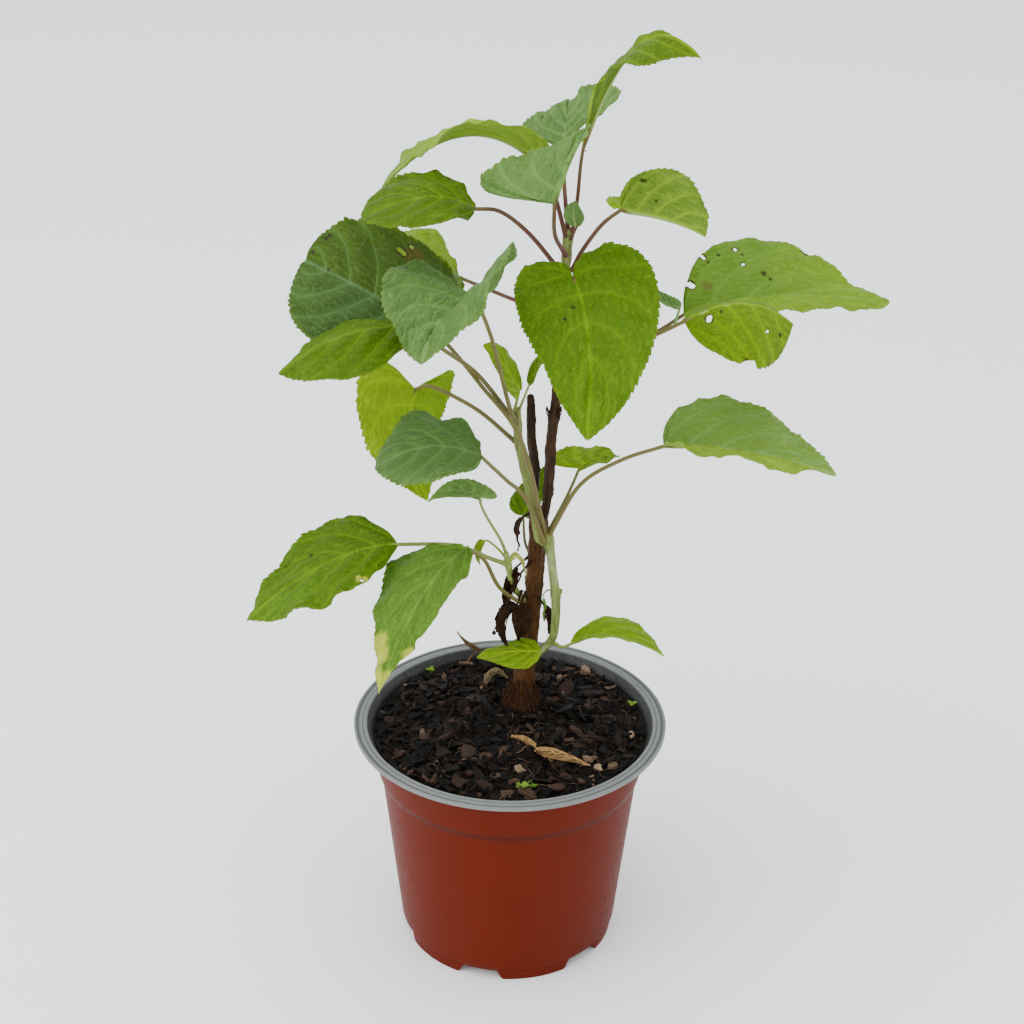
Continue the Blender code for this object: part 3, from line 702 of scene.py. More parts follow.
def half_blade(item, side, t, s):
    """Points, upper normals, distances out and distances along at places t, s of half a blade.

    t runs from base to tip and s from the midrib to the margin, along the side veins. The half
    width is sin(pi t / 2) ** (1 + 2 base) * cos(pi t / 2) ** (1 + 2 taper), scaled so that its
    greatest value is the leaf's half width. A point stands out from the midrib by s times that,
    tilted up by the fold. Along the midrib it slides from the vein's foot to the margin's share.
    """
    pick = 0 if side > 0 else 1
    t, s = np.broadcast_arrays(np.asarray(t, float), np.asarray(s, float))
    phi = math.pi * t
    base, taper, lobe = item.bases[pick], item.tapers[pick], item.lobes[pick]
    widest = (1 + 2 * base) / (2 + 2 * taper + 2 * base)
    half_width = np.sin(phi / 2) ** (1 + 2 * base) * np.maximum(np.cos(phi / 2), 0) ** (1 + 2 * taper)
    half_width = half_width * item.widths[pick] / (widest ** (0.5 + base) * (1 - widest) ** (0.5 + taper))
    margin = (1 - np.cos(phi)) / 2 - lobe * np.sin(phi) * (1 + np.cos(phi)) / 1.3
    foot = fade(t, 0.3, 1) ** 1.1
    along_share = foot + (margin - foot) * s
    out = half_width * s
    inside = np.clip(along_share, 0, 1)
    points, along, right, up = midrib_frame(item, inside)
    length = blade_length(item)
    points = points + along * ((along_share - inside) * length)[..., None]
    fold = np.radians(item.folds[pick] + (item.folds_tip[pick] - item.folds[pick]) * inside)[..., None]
    points = points + out[..., None] * (side * right * np.cos(fold) + up * np.sin(fold))
    fold = fold * np.clip(s * 9, 0, 1)[..., None]  # the normal turns softly at the midrib
    return points, up * np.cos(fold) - side * right * np.sin(fold), side * out, along_share * length


def petiole_start(item, towards):
    """Where a petiole leaves its stem, and the way it goes."""
    if not np.isscalar(item.start):
        start = np.array(item.start, float)
        return start, unit(np.asarray(towards, float) - start)
    centre, direction, radius = stem_at(item.stem, item.start)
    way = unit(np.asarray(towards, float) - centre)
    steep = abs(float(way @ direction))
    reach = (radius + CLEARANCE + PETIOLE_RADIUS * steep) / math.sqrt(1 - min(steep, 0.98) ** 2)
    return centre + way * reach, way


# ---------------------------------------------------------------- leaves

VEINS = 7  # spaces between the side veins of half a blade
VEIN_BOW = 0.75  # how far a side vein bows towards the base, in vein spaces
VEIN_SWEEP = 1.1  # how far it sweeps on towards the tip by the margin, in vein spaces
LANES = np.sort(np.append(np.linspace(0, 1, 15), [0.03, 0.965]))[None, :]  # midrib to margin
TOOTH_RISE = 0.78  # share of a tooth's pitch over which it swells
TOOTH_FROM = 0.84  # share of the way to the margin where the teeth begin
GROWN_WIDTH = 45  # width in mm from which a leaf has its full relief
MIDRIB_SINK = 0.10  # how far the midrib lies below the blade, in mm
STALK_SIDES = 12
HOLE_SIDES = 11
BLADE_FINISH = {"merge": 0.002, "sharp": 50}

# Marks: how strong and how soft (as a share of the radius) each kind is, and its colour
MARKS = {
    "spot": (0.9, 0.3, (0.030, 0.018, 0.008)),
    "brown": (0.55, 0.3, (0.14, 0.085, 0.025)),
    "yellow": (0.9, 0.7, (0.50, 0.54, 0.045)),
    "fleck": (0.5, 0.7, (0.45, 0.52, 0.20)),
}
BLOTCHES = [(0.25, (0.74, 0.78, 0.72)), (0.5, (1.0, 1.0, 1.0)), (0.75, (1.22, 1.18, 1.15))]
HOLE_RIM = (0.060, 0.036, 0.010)
MARGIN = (0.24, 0.33, 0.01)
RUST = (0.10, 0.075, 0.02)
UNDERSIDE = (0.26, 0.38, 0.14)
UNDER_RIB = (0.24, 0.34, 0.07)
STALK_DUST = (0.24, 0.20, 0.06)


def relief_share(item):
    """The share of its full relief that a leaf has: 1 for a grown leaf and less for a small one."""
    return min(1.0, sum(item.widths) / GROWN_WIDTH)


def blade_rows(item, pitch):
    """Rows t of a blade, five to a tooth, and each row's tooth number, by arc length along the margins."""
    t = np.linspace(0.02, 0.985, 600)
    arc = sum(distances(half_blade(item, side, t, 1.0)[0]) / 2 for side in (1, -1))
    teeth = max(8, int(arc[-1] / pitch))
    phase = (np.arange(teeth)[:, None] + np.array([0.0, 0.28, 0.54, 0.76, 0.9])).ravel()
    phase = np.append(phase, teeth)
    return np.interp(phase * arc[-1] / teeth, arc, t), phase


def tooth_shape(phase):
    """How far a tooth stands out: a quarter of a sine, that falls back over the rest of its pitch."""
    u = phase % 1.0
    rise = np.sin(u / TOOTH_RISE * math.pi / 2)
    fall = np.cos((u - TOOTH_RISE) / (1 - TOOTH_RISE) * math.pi / 2)
    return np.where(u < TOOTH_RISE, rise, fall) - 0.55


def half_sheet(item, side, t, phase, seed, settings, crumple):
    """Half a blade's points, normals and lift, its vein map and flat map, and the gap between veins.

    Teeth push the outer lanes outwards and towards the tip. Quilting lifts the blade between its
    side veins by a raised cosine of the vein number. Waves move it up and down by a sum of sines,
    faded in towards the margin. The flat map holds the distances out and along in units of 0.1 m.
    """
    share, step = relief_share(item), 0.002
    points, normals, out, along = half_blade(item, side, t, LANES)
    later, earlier = (half_blade(item, side, np.clip(t + way, 0, 1), LANES)[0] for way in (step, -step))
    outer, inner = (half_blade(item, side, t, np.clip(LANES + way, 0, 1))[0] for way in (0.02, -0.02))
    rows_way, lane_way = later - earlier, unit(outer - inner)
    gap = np.linalg.norm(np.cross(rows_way, lane_way), axis=-1) / (2 * step) / VEINS

    ends = fade(t, 0.06, 0.16) * np.maximum(fade(t, 0.97, 0.85), 0.12)
    vary = 1 + 0.45 * ripple(points[:, -1:], 9.0, seed + side)
    push = settings.tooth_height / MM * share * tooth_shape(phase[:, None]) * ends * vary
    push = push * fade(LANES, TOOTH_FROM, 1)
    points = points + unit(lane_way + unit(rows_way) * 0.9) * push[..., None]

    number = t * VEINS + VEIN_BOW * LANES * (1 - LANES) - VEIN_SWEEP * LANES
    pillow = (1 - np.cos(2 * math.pi * number)) / 2 * np.sin(math.pi * LANES**0.8) ** 0.8
    lift = settings.quilting / MM * share * pillow * fade(t, 0.1, 0.3) * fade(t, 1, 0.75)
    waves = ripple(points, 30.0, seed + 7 * side, 3) * LANES**1.6 * np.maximum(fade(t, 1, 0.8), 0.2)
    lift = lift + settings.waviness / MM * share * waves
    lift = lift - MIDRIB_SINK * share * fade(LANES, 0.05, 0)
    lift = lift + crumple * ripple(points, 7.0, seed) * (0.3 + 0.7 * LANES)
    veins = np.stack(np.broadcast_arrays(number, LANES), -1)
    return points, normals, lift, veins, np.stack([out, along], -1) / 100, gap


def add_blade(shape, name, item, settings, crumple=0.0):
    """Adds a leaf's blade: its halves joined along the midrib, made thick and closed by a rim."""
    t, phase = blade_rows(item, settings.tooth_pitch / MM * (0.6 + 0.4 * relief_share(item)))
    seed = sum(ord(letter) * (k + 3) for k, letter in enumerate(name))
    left, right = (half_sheet(item, side, t[:, None], phase, seed, settings, crumple) for side in (-1, 1))
    points, normals, lift, veins, flat, gap = (
        np.concatenate([a[:, :0:-1], b], axis=1) for a, b in zip(left, right))
    half = settings.thickness / MM / 2
    top, under = (points + normals * (lift + way)[..., None] for way in (half, -half))
    rows, columns = lift.shape
    index = np.arange(rows * columns).reshape(rows, columns)
    ring = np.concatenate([index[0], index[1:, -1], index[-1, -2::-1], index[-2:0:-1, 0]])
    after = np.roll(ring, -1)
    quads = [grid_quads(rows, columns), grid_quads(rows, columns, first=index.size, flip=True),
             np.stack([ring, ring + index.size, after + index.size, after], -1)]
    shape.add([top, under], np.vstack(quads),
              veins=np.tile(veins.reshape(-1, 2), (2, 1)), flat=np.tile(flat.reshape(-1, 2), (2, 1)),
              gap=np.tile(gap.ravel(), 2), side=np.repeat([0.0, 1.0], index.size))


def add_stalk(shape, item):
    """Adds a leaf's stalk: a tube along the source's path that thins and runs on under the midrib."""
    shares = np.linspace(0, 0.9, 22)
    ribs, _, _, up = midrib_frame(item, shares)
    ribs = ribs - up * np.interp(shares, [0, 0.08, 0.5, 0.9], [0.1, 0.9, 0.6, 0.15])[:, None]
    start, way = petiole_start(item, [*item.route, item.joint][0])
    knots = np.vstack([start, *item.route, ribs[0]])
    stalk = smooth_path(knots, 14 * (len(knots) - 1))
    sunk = (1.3, 0.6) if np.isscalar(item.start) else (2.6, 1.3)  # the root's depth in the stem
    path = np.vstack([start - way * np.array(sunk)[:, None], stalk, ribs[1:]])
    distance = distances(path)
    reach = len(sunk) + len(stalk)
    slim = np.concatenate(
        [[1.0, 1.0], np.linspace(1.0, 0.8, len(stalk)), np.linspace(0.78, 0.14, len(ribs) - 1)])
    swollen = 1 + 0.35 * np.exp(-distance / 2.2)
    radii = slim * swollen * PETIOLE_RADIUS * min(1.0, 0.45 + sum(item.widths) / 80)
    rib = np.concatenate([np.zeros(reach), np.linspace(0, 1, len(ribs) - 1)])
    add_tube(shape, path, radii, STALK_SIDES, rib=np.repeat(rib, STALK_SIDES),
             reach=np.repeat(distance / distance[reach - 1], STALK_SIDES))


def place_on(item, side, t, s):
    """A place of a blade as a point, an upper normal, and a point of its flat map in millimetres."""
    point, normal, out, along = half_blade(item, side, np.array([t]), np.array([s]))
    return point[0], normal[0], (float(out[0]), float(along[0]), 0.0)


def cut_hole(item, blade, side, t, s, radius, seed):
    """Cuts an uneven hole through a blade: a prism along the blade's normal."""
    centre, normal, _ = place_on(item, side, t, s)
    draw = np.random.default_rng(seed)
    first = unit(np.cross(normal, (0.3, 0.2, 1.0)))
    second = np.cross(normal, first)
    angle = circle(HOLE_SIDES)
    radii = radius * (1 + 0.28 * np.sin(2 * angle + seed) + draw.uniform(-0.16, 0.16, HOLE_SIDES))
    ring = centre + radii[:, None] * (np.cos(angle)[:, None] * first + np.sin(angle)[:, None] * second)
    shape = Shape()
    shape.add([ring - normal * 4, ring + normal * 4], grid_quads(2, HOLE_SIDES, closed_columns=True),
              tube_ends(2, HOLE_SIDES))
    cutter = shape.build("cutter", [])
    cut = blade.modifiers.new("hole", "BOOLEAN")
    cut.operation, cut.solver, cut.object = "DIFFERENCE", "MANIFOLD", cutter
    mesh = bpy.data.meshes.new_from_object(blade.evaluated_get(bpy.context.evaluated_depsgraph_get()))
    blade.modifiers.clear()
    blade.data = mesh
    bpy.data.objects.remove(cutter)


def join(first, *others):
    """Joins objects into the first."""
    bpy.ops.object.select_all(action="DESELECT")
    for item in (first, *others):
        item.select_set(True)
    bpy.context.view_layer.objects.active = first
    bpy.ops.object.join()
    return first


def leaf_veins(net, flat, number, across, reach):
    """Masks of a blade's side veins, branches, cross veins, fine net and pillows, and the vein distance.

    The distance to the nearest side vein is the vein number folded at whole numbers, times the gap
    between veins. Branches are the same at twice the number, bent towards the tip. Cross veins are
    a folding of the distance from the midrib, bent by noise, and a net of random cells gives the
    fine veins. A pillow is far from both kinds of vein.
    """
    gap = net.attribute("gap")
    warp = net.noise(flat, 14.0, 2.0)
    near_vein = (number + (warp - 0.5) * 0.20).folded() * gap
    vein = near_vein.below(0.11, 0.28) * (1.0 - 0.65 * across) * across.above(0.0, 0.03)
    branch = ((number + across * across * 1.6) * 2.0 + (warp - 0.5) * 0.5).folded() * gap * 0.5
    branch = branch.below(0.06, 0.22) * across.above(0.35, 0.3)
    rung = (reach / 3.8 + (net.noise(flat, 6.0, 2.0) - 0.5) * 2.6).folded() * 3.8
    rungs = rung.below(0.05, 0.30) * near_vein.above(0.0, 0.6)
    bends = net.stretch(net.noise(flat, 1 / 0.45, 2.0, 0.5, output=1), 1.3, 1.3, 0.0)
    fine = net.cells(net.vector("ADD", flat, bends), 1.25, "DISTANCE_TO_EDGE").below(0.03, 0.20)
    pillow = net.maths("MINIMUM", near_vein * 0.55, rung * 0.8).above(0.05, 0.95)
    return vein, branch, rungs, fine, pillow, near_vein


def leaf_damage(net, colour, flat, item, look):
    """A blade's colour with its marks and the brown rims of its holes, round places of its flat map."""
    for kind, places in look.marks.items():
        strength, soft, tint = MARKS[kind]
        for side, t, s, radius in places:
            away = net.distance(flat, place_on(item, side, t, s)[2])
            away = away + (net.noise(flat, radius * 0.9, 3.0) - 0.5) * radius * 1.1
            colour = net.mix(away.below(radius * 0.75, radius * soft) * strength, colour, tint)
    for side, t, s, radius in look.holes:
        away = net.distance(flat, place_on(item, side, t, s)[2])
        colour = net.mix(away.below(radius * 1.2, radius * 0.35) * 0.85, colour, HOLE_RIM)
    return colour


def leaf_material(name, item, look):
    """A blade's surface: half and tip tints that also paint glow and sheen, painted shade between the
    veins, blotches, veins, marks and a paler underside.

    The blade swells between its veins, which sink on the upper side and stand out on the underside.
    """
    net = Net(name)
    flat, vein_map = net.uv("flat", 100.0), net.uv("veins", 1.0)
    x, y = net.part(flat, 0), net.part(flat, 1)
    number, across = net.part(vein_map, 0), net.part(vein_map, 1)
    under = net.attribute("side").above(0.4, 0.2)
    reach = x.size()
    vein, branch, rungs, fine, pillow, near_vein = leaf_veins(net, flat, number, across, reach)

    blotch, mottle = net.noise(flat, 22.0, 5.0, 0.6), net.noise(flat, 5.0, 4.0, 0.62)
    # The halves' tints, which carry painted glow and sheen besides the leaf's own green
    colour = net.mix(x.below(-0.4, 0.8), look.right, look.left)
    if look.tip_share:
        tip = (y / blade_length(item) + (blotch - 0.5) * 0.3).above(0.45, 0.4)
        colour = net.mix(tip * look.tip_share, colour, look.tip)
    colour = net.mix(1.0, colour, net.ramp(blotch, BLOTCHES), "MULTIPLY")
    # Painted shade: darker between the side veins and in the pillows, where the relief would be shaded,
    # with a random mottle
    between = (number.folded() * 2.0).clamp()
    shadow = between * 0.22 + mottle.above(0.48, 0.25) * 0.22 + pillow * 0.42
    colour = net.mix(shadow, colour, times(look.right, 0.42))

    halo = near_vein.below(0.2, 1.8) * (1.0 - 0.6 * across)
    rib, rib_soft = reach.below(0.30, 0.45), reach.below(0.5, 1.6)
    lines = vein * 0.80 + branch * 0.34 + rungs * 0.20 + fine * 0.16 + rib_soft * 0.22 + halo * 0.17
    lines = lines.clamp()
    colour = net.mix(lines, colour, times(look.left, 2.0, 1.75, 2.0))
    colour = net.mix(rib * 0.58, colour, times(look.left, 2.1, 1.8, 3.0))
    colour = net.mix(across.above(0.95, 0.05) * 0.22, colour, MARGIN)
    rust = net.cells(flat, 6.5).below(0.045, 0.03) * net.noise(flat, 9.0, 1.0).above(0.52, 0.1)
    colour = net.mix(rust * 0.5, colour, RUST)
    colour = net.mix(under * 0.4, colour, net.mix(0.45, colour, UNDERSIDE))
    colour = leaf_damage(net, colour, flat, item, look)

    relief = pillow * 0.32 - vein * 0.42 - branch * 0.2 - rungs * 0.11 - fine * 0.10 - rib * 0.12
    grain = net.noise(flat, 0.35, 3.0, 0.6)
    normal = net.bump((1.0 - 2.0 * under) * relief + grain * 0.05 + mottle * 0.2)
    roughness = 0.36 + 0.3 * (1.0 - look.gloss) + (blotch - 0.5) * 0.12 + under * 0.2 + lines * 0.06
    return net.surface(colour, roughness, normal, 0.12, 0.22, times(look.left, 2.2, 2.0, 0.6))


def stalk_material(name, base, flushed, amount):
    """A leaf stalk: flushed by a given amount, most near the stem, and olive towards the blade."""
    net = Net(name)
    place = net.place()
    reach, rib = net.attribute("reach"), net.attribute("rib")
    patch, fine = net.noise(place, 9.0, 4.0), net.noise(place, 0.7, 3.0)
    flush = ((1.0 - reach * 0.45) * amount + (patch - 0.5) * 0.7).clamp() * (1.0 - rib.above(0.0, 0.06))
    colour = net.mix(flush, base, flushed)
    colour = net.mix(rib.above(0.0, 0.1), colour, UNDER_RIB)
    colour = net.mix((fine - 0.4).clamp() * 0.4, colour, STALK_DUST)
    return net.surface(colour, 0.5 + (patch - 0.5) * 0.2, net.bump(fine, 0.12), 0.3)


class HYD_OT_leaves(bpy.types.Operator):
    """Builds every leaf by the rule of its solid, with teeth, veins, damage and its stalk"""

    bl_idname = "hydrangea.leaves"
    bl_label = "Leaves"

    def execute(self, context):
        settings = context.scene.hyd_leaf
        red = stalk_material("red_stalk", settings.stalk, settings.stalk_flush, 1.15)
        olive = stalk_material("olive_stalk", settings.stalk, settings.stalk_flush, 0.42)
        green = stalk_material("green_stalk", settings.stalk_green, settings.stalk_flush, 0.08)
        for name, item in LEAVES.items():
            young = item.stem == "low_shoot" or "foot" in name or "young" in name
            blade, stalk = Shape(), Shape()
            add_blade(blade, name, item, settings)
            add_stalk(stalk, item)
            surface = leaf_material(name + "_blade", item, LOOKS[name])
            blade = blade.build(name + "_visual", [surface], **BLADE_FINISH)
            for k, hole in enumerate(LOOKS[name].holes):
                cut_hole(item, blade, *hole, seed=k + len(name))
            surface = red if item.stem == "top_shoot" else green if young else olive
            stalk = stalk.build(name + "_stalk", [surface])
            finish_piece(join(blade, stalk), name, slot=item.slot)
        return {"FINISHED"}


# ---------------------------------------------------------------- pot

POT_DUST = (0.15, 0.022, 0.004)
POT_SPECK = (0.05, 0.018, 0.012)
# Soil on the pot's inside wall, dark enough to paint its shade too
LIP_SOIL_AND_SHADE = (0.0045, 0.0038, 0.0028)
LIP_GRIT = (0.04, 0.03, 0.024)


def foot_height(angle):
    """Height of the foot ring's lower edge: level feet with arches between them, with soft shoulders."""
    turn = (angle * FOOT_COUNT / (2 * math.pi) + 0.25) % 1.0
    arch = fade(np.abs(turn - 0.5) * 2, 1 - FOOT_SHARE + 0.07, 1 - FOOT_SHARE - 0.07)
    return FOOT_ARCH * arch * arch * (3 - 2 * arch)


def rounded(corners, radii, count=4):
    """A line of (radius, height) corners with each corner rounded by an arc of count + 1 points.

    The arc is a quadratic curve from a point before the corner to a point after it.
    """
    corners = np.asarray(corners, float)
    line = [corners[:1]]
    for k in range(1, len(corners) - 1):
        before, here, after = corners[k - 1 : k + 2]
        back, on = before - here, after - here
        reach = min(radii[k], 0.45 * np.linalg.norm(back), 0.45 * np.linalg.norm(on))
        start, end = here + unit(back) * reach, here + unit(on) * reach
        f = np.linspace(0, 1, count + 1)[:, None]
        line.append((1 - f) ** 2 * start + 2 * f * (1 - f) * here + f * f * end)
    line.append(corners[-1:])
    return np.vstack(line)


def inside_radius(z):
    """Radius of the pot's inner wall at a height."""
    heights = [LEDGE_Z, COLLAR_FOOT_Z - 4, COLLAR_FOOT_Z, POT_HEIGHT - LIP_DROP - 3, POT_HEIGHT]
    radii = [WALL_FOOT_RADIUS, WALL_TOP_RADIUS, COLLAR_FOOT_RADIUS, COLLAR_TOP_RADIUS,
             LIP_INNER_RADIUS + POT_WALL]
    return np.interp(z, heights, radii) - POT_WALL


def pot_section(low):
    """The pot's rounded section where its foot ends at height low, and how many of its points are wall."""
    under, collar_top = FLOOR_Z - POT_WALL, POT_HEIGHT - LIP_DROP - 3
    edge, inner, top = POT_RADIUS, LIP_INNER_RADIUS, POT_HEIGHT
    wall = rounded(
        [(PAD_RADIUS, 0.0), (PAD_RADIUS + 2, under), (FOOT_RADIUS - 4, under), (FOOT_RADIUS - 3, low),
         (FOOT_RADIUS, low), (FOOT_RADIUS + 0.5, LEDGE_Z - 1), (WALL_FOOT_RADIUS, LEDGE_Z),
         (WALL_TOP_RADIUS, COLLAR_FOOT_Z - 4), (COLLAR_FOOT_RADIUS, COLLAR_FOOT_Z),
         (COLLAR_TOP_RADIUS, collar_top), (inner, top - POT_WALL), (edge - POT_WALL - 0.6, top - POT_WALL)],
        [0, 0.5, 0.5, 0.5, 0.6, 0.5, 0.8, 2.5, 2.5, 2.0, 1.2, 0])
    lip = rounded(
        [(edge - POT_WALL, top - POT_WALL), (edge - POT_WALL, top - LIP_DROP), (edge - 0.2, top - LIP_DROP),
         (edge, top), (edge - 1.2, top), (edge - 1.7, top - 0.8), (edge - 2.6, top - 0.8),
         (edge - 3.1, top - 0.1), (inner + 2.2, top - 0.1), (inner + 1.7, top - 0.5),
         (inner + 1.2, top + 0.3), (inner, top + 0.2), (COLLAR_TOP_RADIUS - POT_WALL, collar_top),
         (COLLAR_FOOT_RADIUS - POT_WALL, COLLAR_FOOT_Z), (WALL_TOP_RADIUS - POT_WALL, COLLAR_FOOT_Z - 4),
         (WALL_FOOT_RADIUS - POT_WALL, FLOOR_Z)],
        [0, 0.4, 0.5, 0.5, 0.4, 0.4, 0.4, 0.4, 0.3, 0.3, 0.4, 0.8, 1.5, 2, 2, 0])
    return np.vstack([wall, lip]), len(wall)


def pot_material(settings):
    """Thin moulded plastic: even colour with faint dust, specks, painted shade along the crease under the
    collar, and fine rings.
    """
    net = Net("pot_wall")
    place = net.place()
    height = net.part(place, 2)
    broad, dust = net.noise(place, 34.0, 4.0), net.noise(place, 3.2, 5.0, 0.65)
    streak = net.noise(net.stretch(place, 1.0, 1.0, 0.16), 2.4, 3.0)
    colour = net.mix((broad - 0.35).clamp() * 0.9, settings.plastic, times(settings.plastic, 0.80))
    film = dust.above(0.52, 0.3) * 0.22 + streak.above(0.6, 0.2) * 0.12
    film = film * (0.45 + height.below(30.0, 40.0) * 0.55)
    colour = net.mix(film, colour, POT_DUST)
    speck = net.cells(place, 5.5).below(0.035, 0.03) * broad.above(0.48, 0.1)
    colour = net.mix(speck * 0.8, colour, POT_SPECK)
    # Painted shade: a dark band along the crease under the collar
    painted_crease_shade = (height - (COLLAR_FOOT_Z - 2.0)).size().below(1.0, 2.2)
    colour = net.mix(painted_crease_shade * 0.55, colour, times(settings.plastic, 0.35))
    rings = net.noise(net.stretch(place, 0.05, 0.05, 1.0), 1.1, 2.0)
    normal = net.bump(broad * 0.25 + dust * 0.03 + rings * 0.02, strength=0.6)
    return net.surface(colour, 0.46 + (dust - 0.5) * 0.22 + film * 0.5, normal, 0.05)


def lip_material(settings):
    """Grey plastic with a dusty film, painted shade in its grooves, grit, and soil splashed on the inside,
    made darker still as painted shade.
    """
    net = Net("pot_lip")
    place = net.place()
    reach = net.distance(net.stretch(place, 1.0, 1.0, 0.0))
    dust, broad = net.noise(place, 1.9, 5.0, 0.7), net.noise(place, 17.0, 3.0)
    colour = net.mix(dust.above(0.42, 0.4) * 0.45, settings.lip, times(settings.lip, 1.9))
    # Soil on the inside wall, made nearly black to paint its shade as well
    soil_and_shade = net.part(place, 2).below(POT_HEIGHT - 1.0, 0.9) * (0.86 + dust.above(0.45, 0.2) * 0.14)
    colour = net.mix(soil_and_shade * reach.below(LIP_INNER_RADIUS + 0.6, 0.5) * 0.97, colour, LIP_SOIL_AND_SHADE)
    # Painted shade in the lip's outer and inner grooves
    outer_groove_shade = (reach - (POT_RADIUS - 2.1)).size().below(0.45, 0.5)
    inner_groove_shade = (reach - (LIP_INNER_RADIUS + 1.7)).size().below(0.15, 0.4)
    colour = net.mix((outer_groove_shade + inner_groove_shade * 0.7).clamp() * 0.7, colour, times(settings.lip, 0.25))
    grit = net.cells(place, 2.6).below(0.07, 0.05) * broad.above(0.5, 0.12)
    colour = net.mix(grit * 0.8, colour, LIP_GRIT)
    normal = net.bump(dust * 0.10 + broad * 0.3, strength=0.7)
    return net.surface(colour, 0.5 + (dust - 0.5) * 0.3, normal, 0.35)


class HYD_OT_pot(bpy.types.Operator):
    """Builds the pot: its rounded section carried round the axis, closed by two discs"""

    bl_idname = "hydrangea.pot"
    bl_label = "Pot"

    def execute(self, context):
        settings = context.scene.hyd_pot
        angles = circle(360)
        sections = [pot_section(low) for low in foot_height(angles)]
        r, z = np.moveaxis([points for points, _ in sections], -1, 0)
        round_the_pot = np.stack([80 * np.cos(angles), 80 * np.sin(angles), angles * 0], -1)
        r = r + 0.10 * ripple(round_the_pot, 90.0, 4)[:, None] * fade(z, 20, 80)
        points = np.stack([r * np.cos(angles)[:, None], r * np.sin(angles)[:, None], z], -1)
        rows, columns = r.shape
        ring = np.arange(rows) * columns
        shape = Shape()
        shape.add(points, grid_quads(rows, columns, closed_rows=True),
                  [ring[::-1].tolist(), (ring + columns - 1).tolist()],
                  np.tile(np.arange(columns - 1) >= sections[0][1], rows), (0, 1))
        pot = shape.build("pot_visual", [pot_material(settings), lip_material(settings)], sharp=40)
        finish_piece(pot, "pot", slot="pot_plastic")
        return {"FINISHED"}


# ---------------------------------------------------------------- potting mix

MIX_RADIUS = inside_radius(MIX_EDGE_Z) - 0.4
CHIP_SIDES = 8
CHIP_POINTS = 4 * CHIP_SIDES
CHIP_TONES = [
    (0.0, (0.0012, 0.0010, 0.0007)), (0.42, (0.0038, 0.0025, 0.0015)), (0.64, (0.014, 0.0078, 0.0048)),
    (0.80, (0.044, 0.023, 0.0145)), (0.93, (0.112, 0.068, 0.044)), (1.0, (0.30, 0.21, 0.12))]
MIX_DUST = (0.07, 0.05, 0.034)

# Sorts of chip: how far from the axis they lie, their lengths in mm, their widths and thicknesses
# as shares of the length, their tilt in radians, how far they stand above the mix as a share of
# the length, the two numbers of the beta law of their tone, and a seed
Sort = namedtuple("Sort", "spread lengths widths thicknesses tilt lift tones seed")
SMALL_CHIPS = Sort(74, (2.5, 9.5), (0.35, 0.8), (0.14, 0.34), 0.42, 0.05, (1.7, 2.5), 21)
LARGE_CHIPS = Sort(71, (7.0, 16.0), (0.30, 0.7), (0.07, 0.16), 0.34, 0.06, (2.1, 2.2), 22)
GRAINS = Sort(74, (0.7, 2.4), (0.5, 1.0), (0.4, 0.9), 0.8, 0.15, (1.3, 3.2), 23)

STONES = np.array([  # x, y, length, width, thickness, tone
    (6.5, -44, 9.5, 6.0, 1.5, 0.96), (12.7, -8, 15, 8, 2.2, 0.80), (-67, 5, 8.5, 7, 2, 0.70),
    (-22, -29, 17, 10, 2, 0.74), (-13, -33, 9, 6, 1.8, 0.80), (55, -39, 10, 7.5, 2.6, 0.92),
    (-27, -58, 11, 9, 2.2, 0.68), (36, -6, 12, 7, 2.4, 0.78), (66, -10, 6, 5, 4, 0.98),
    (47, -40, 5, 4.4, 3.6, 0.985), (-60, -30, 11, 9, 1.8, 0.78), (43, 58, 7.5, 6.2, 4.4, 0.95),
    (28, 47, 6, 5, 3.4, 0.93), (-38, 20, 10, 6, 2, 0.74), (24, 22, 9, 5.5, 2, 0.78),
    (-8, -52, 8, 5, 1.6, 0.84), (31, -52, 9, 5, 1.8, 0.70),
])


def mix_height(x, y):
    """Height of the mix: a low crown round the stems, a furrow by the wall, and lumps as sums of sines."""
    r = np.hypot(x, y)
    where = np.stack([x, y, x * 0], -1)
    heights = [MIX_CROWN_Z + 0.8, MIX_CROWN_Z + 0.5, MIX_CROWN_Z - 0.4, MIX_EDGE_Z + 0.5, MIX_EDGE_Z]
    crown = np.interp(r, [0, 12, MIX_CROWN_RADIUS, 64, 75], heights)
    lumps = 1.15 * ripple(where, 34.0, 11) + 0.55 * ripple(where, 9.0, 12) + 0.30 * ripple(where, 3.2, 13)
    return crown + np.maximum(fade(r, 74, 66), 0.25) * lumps


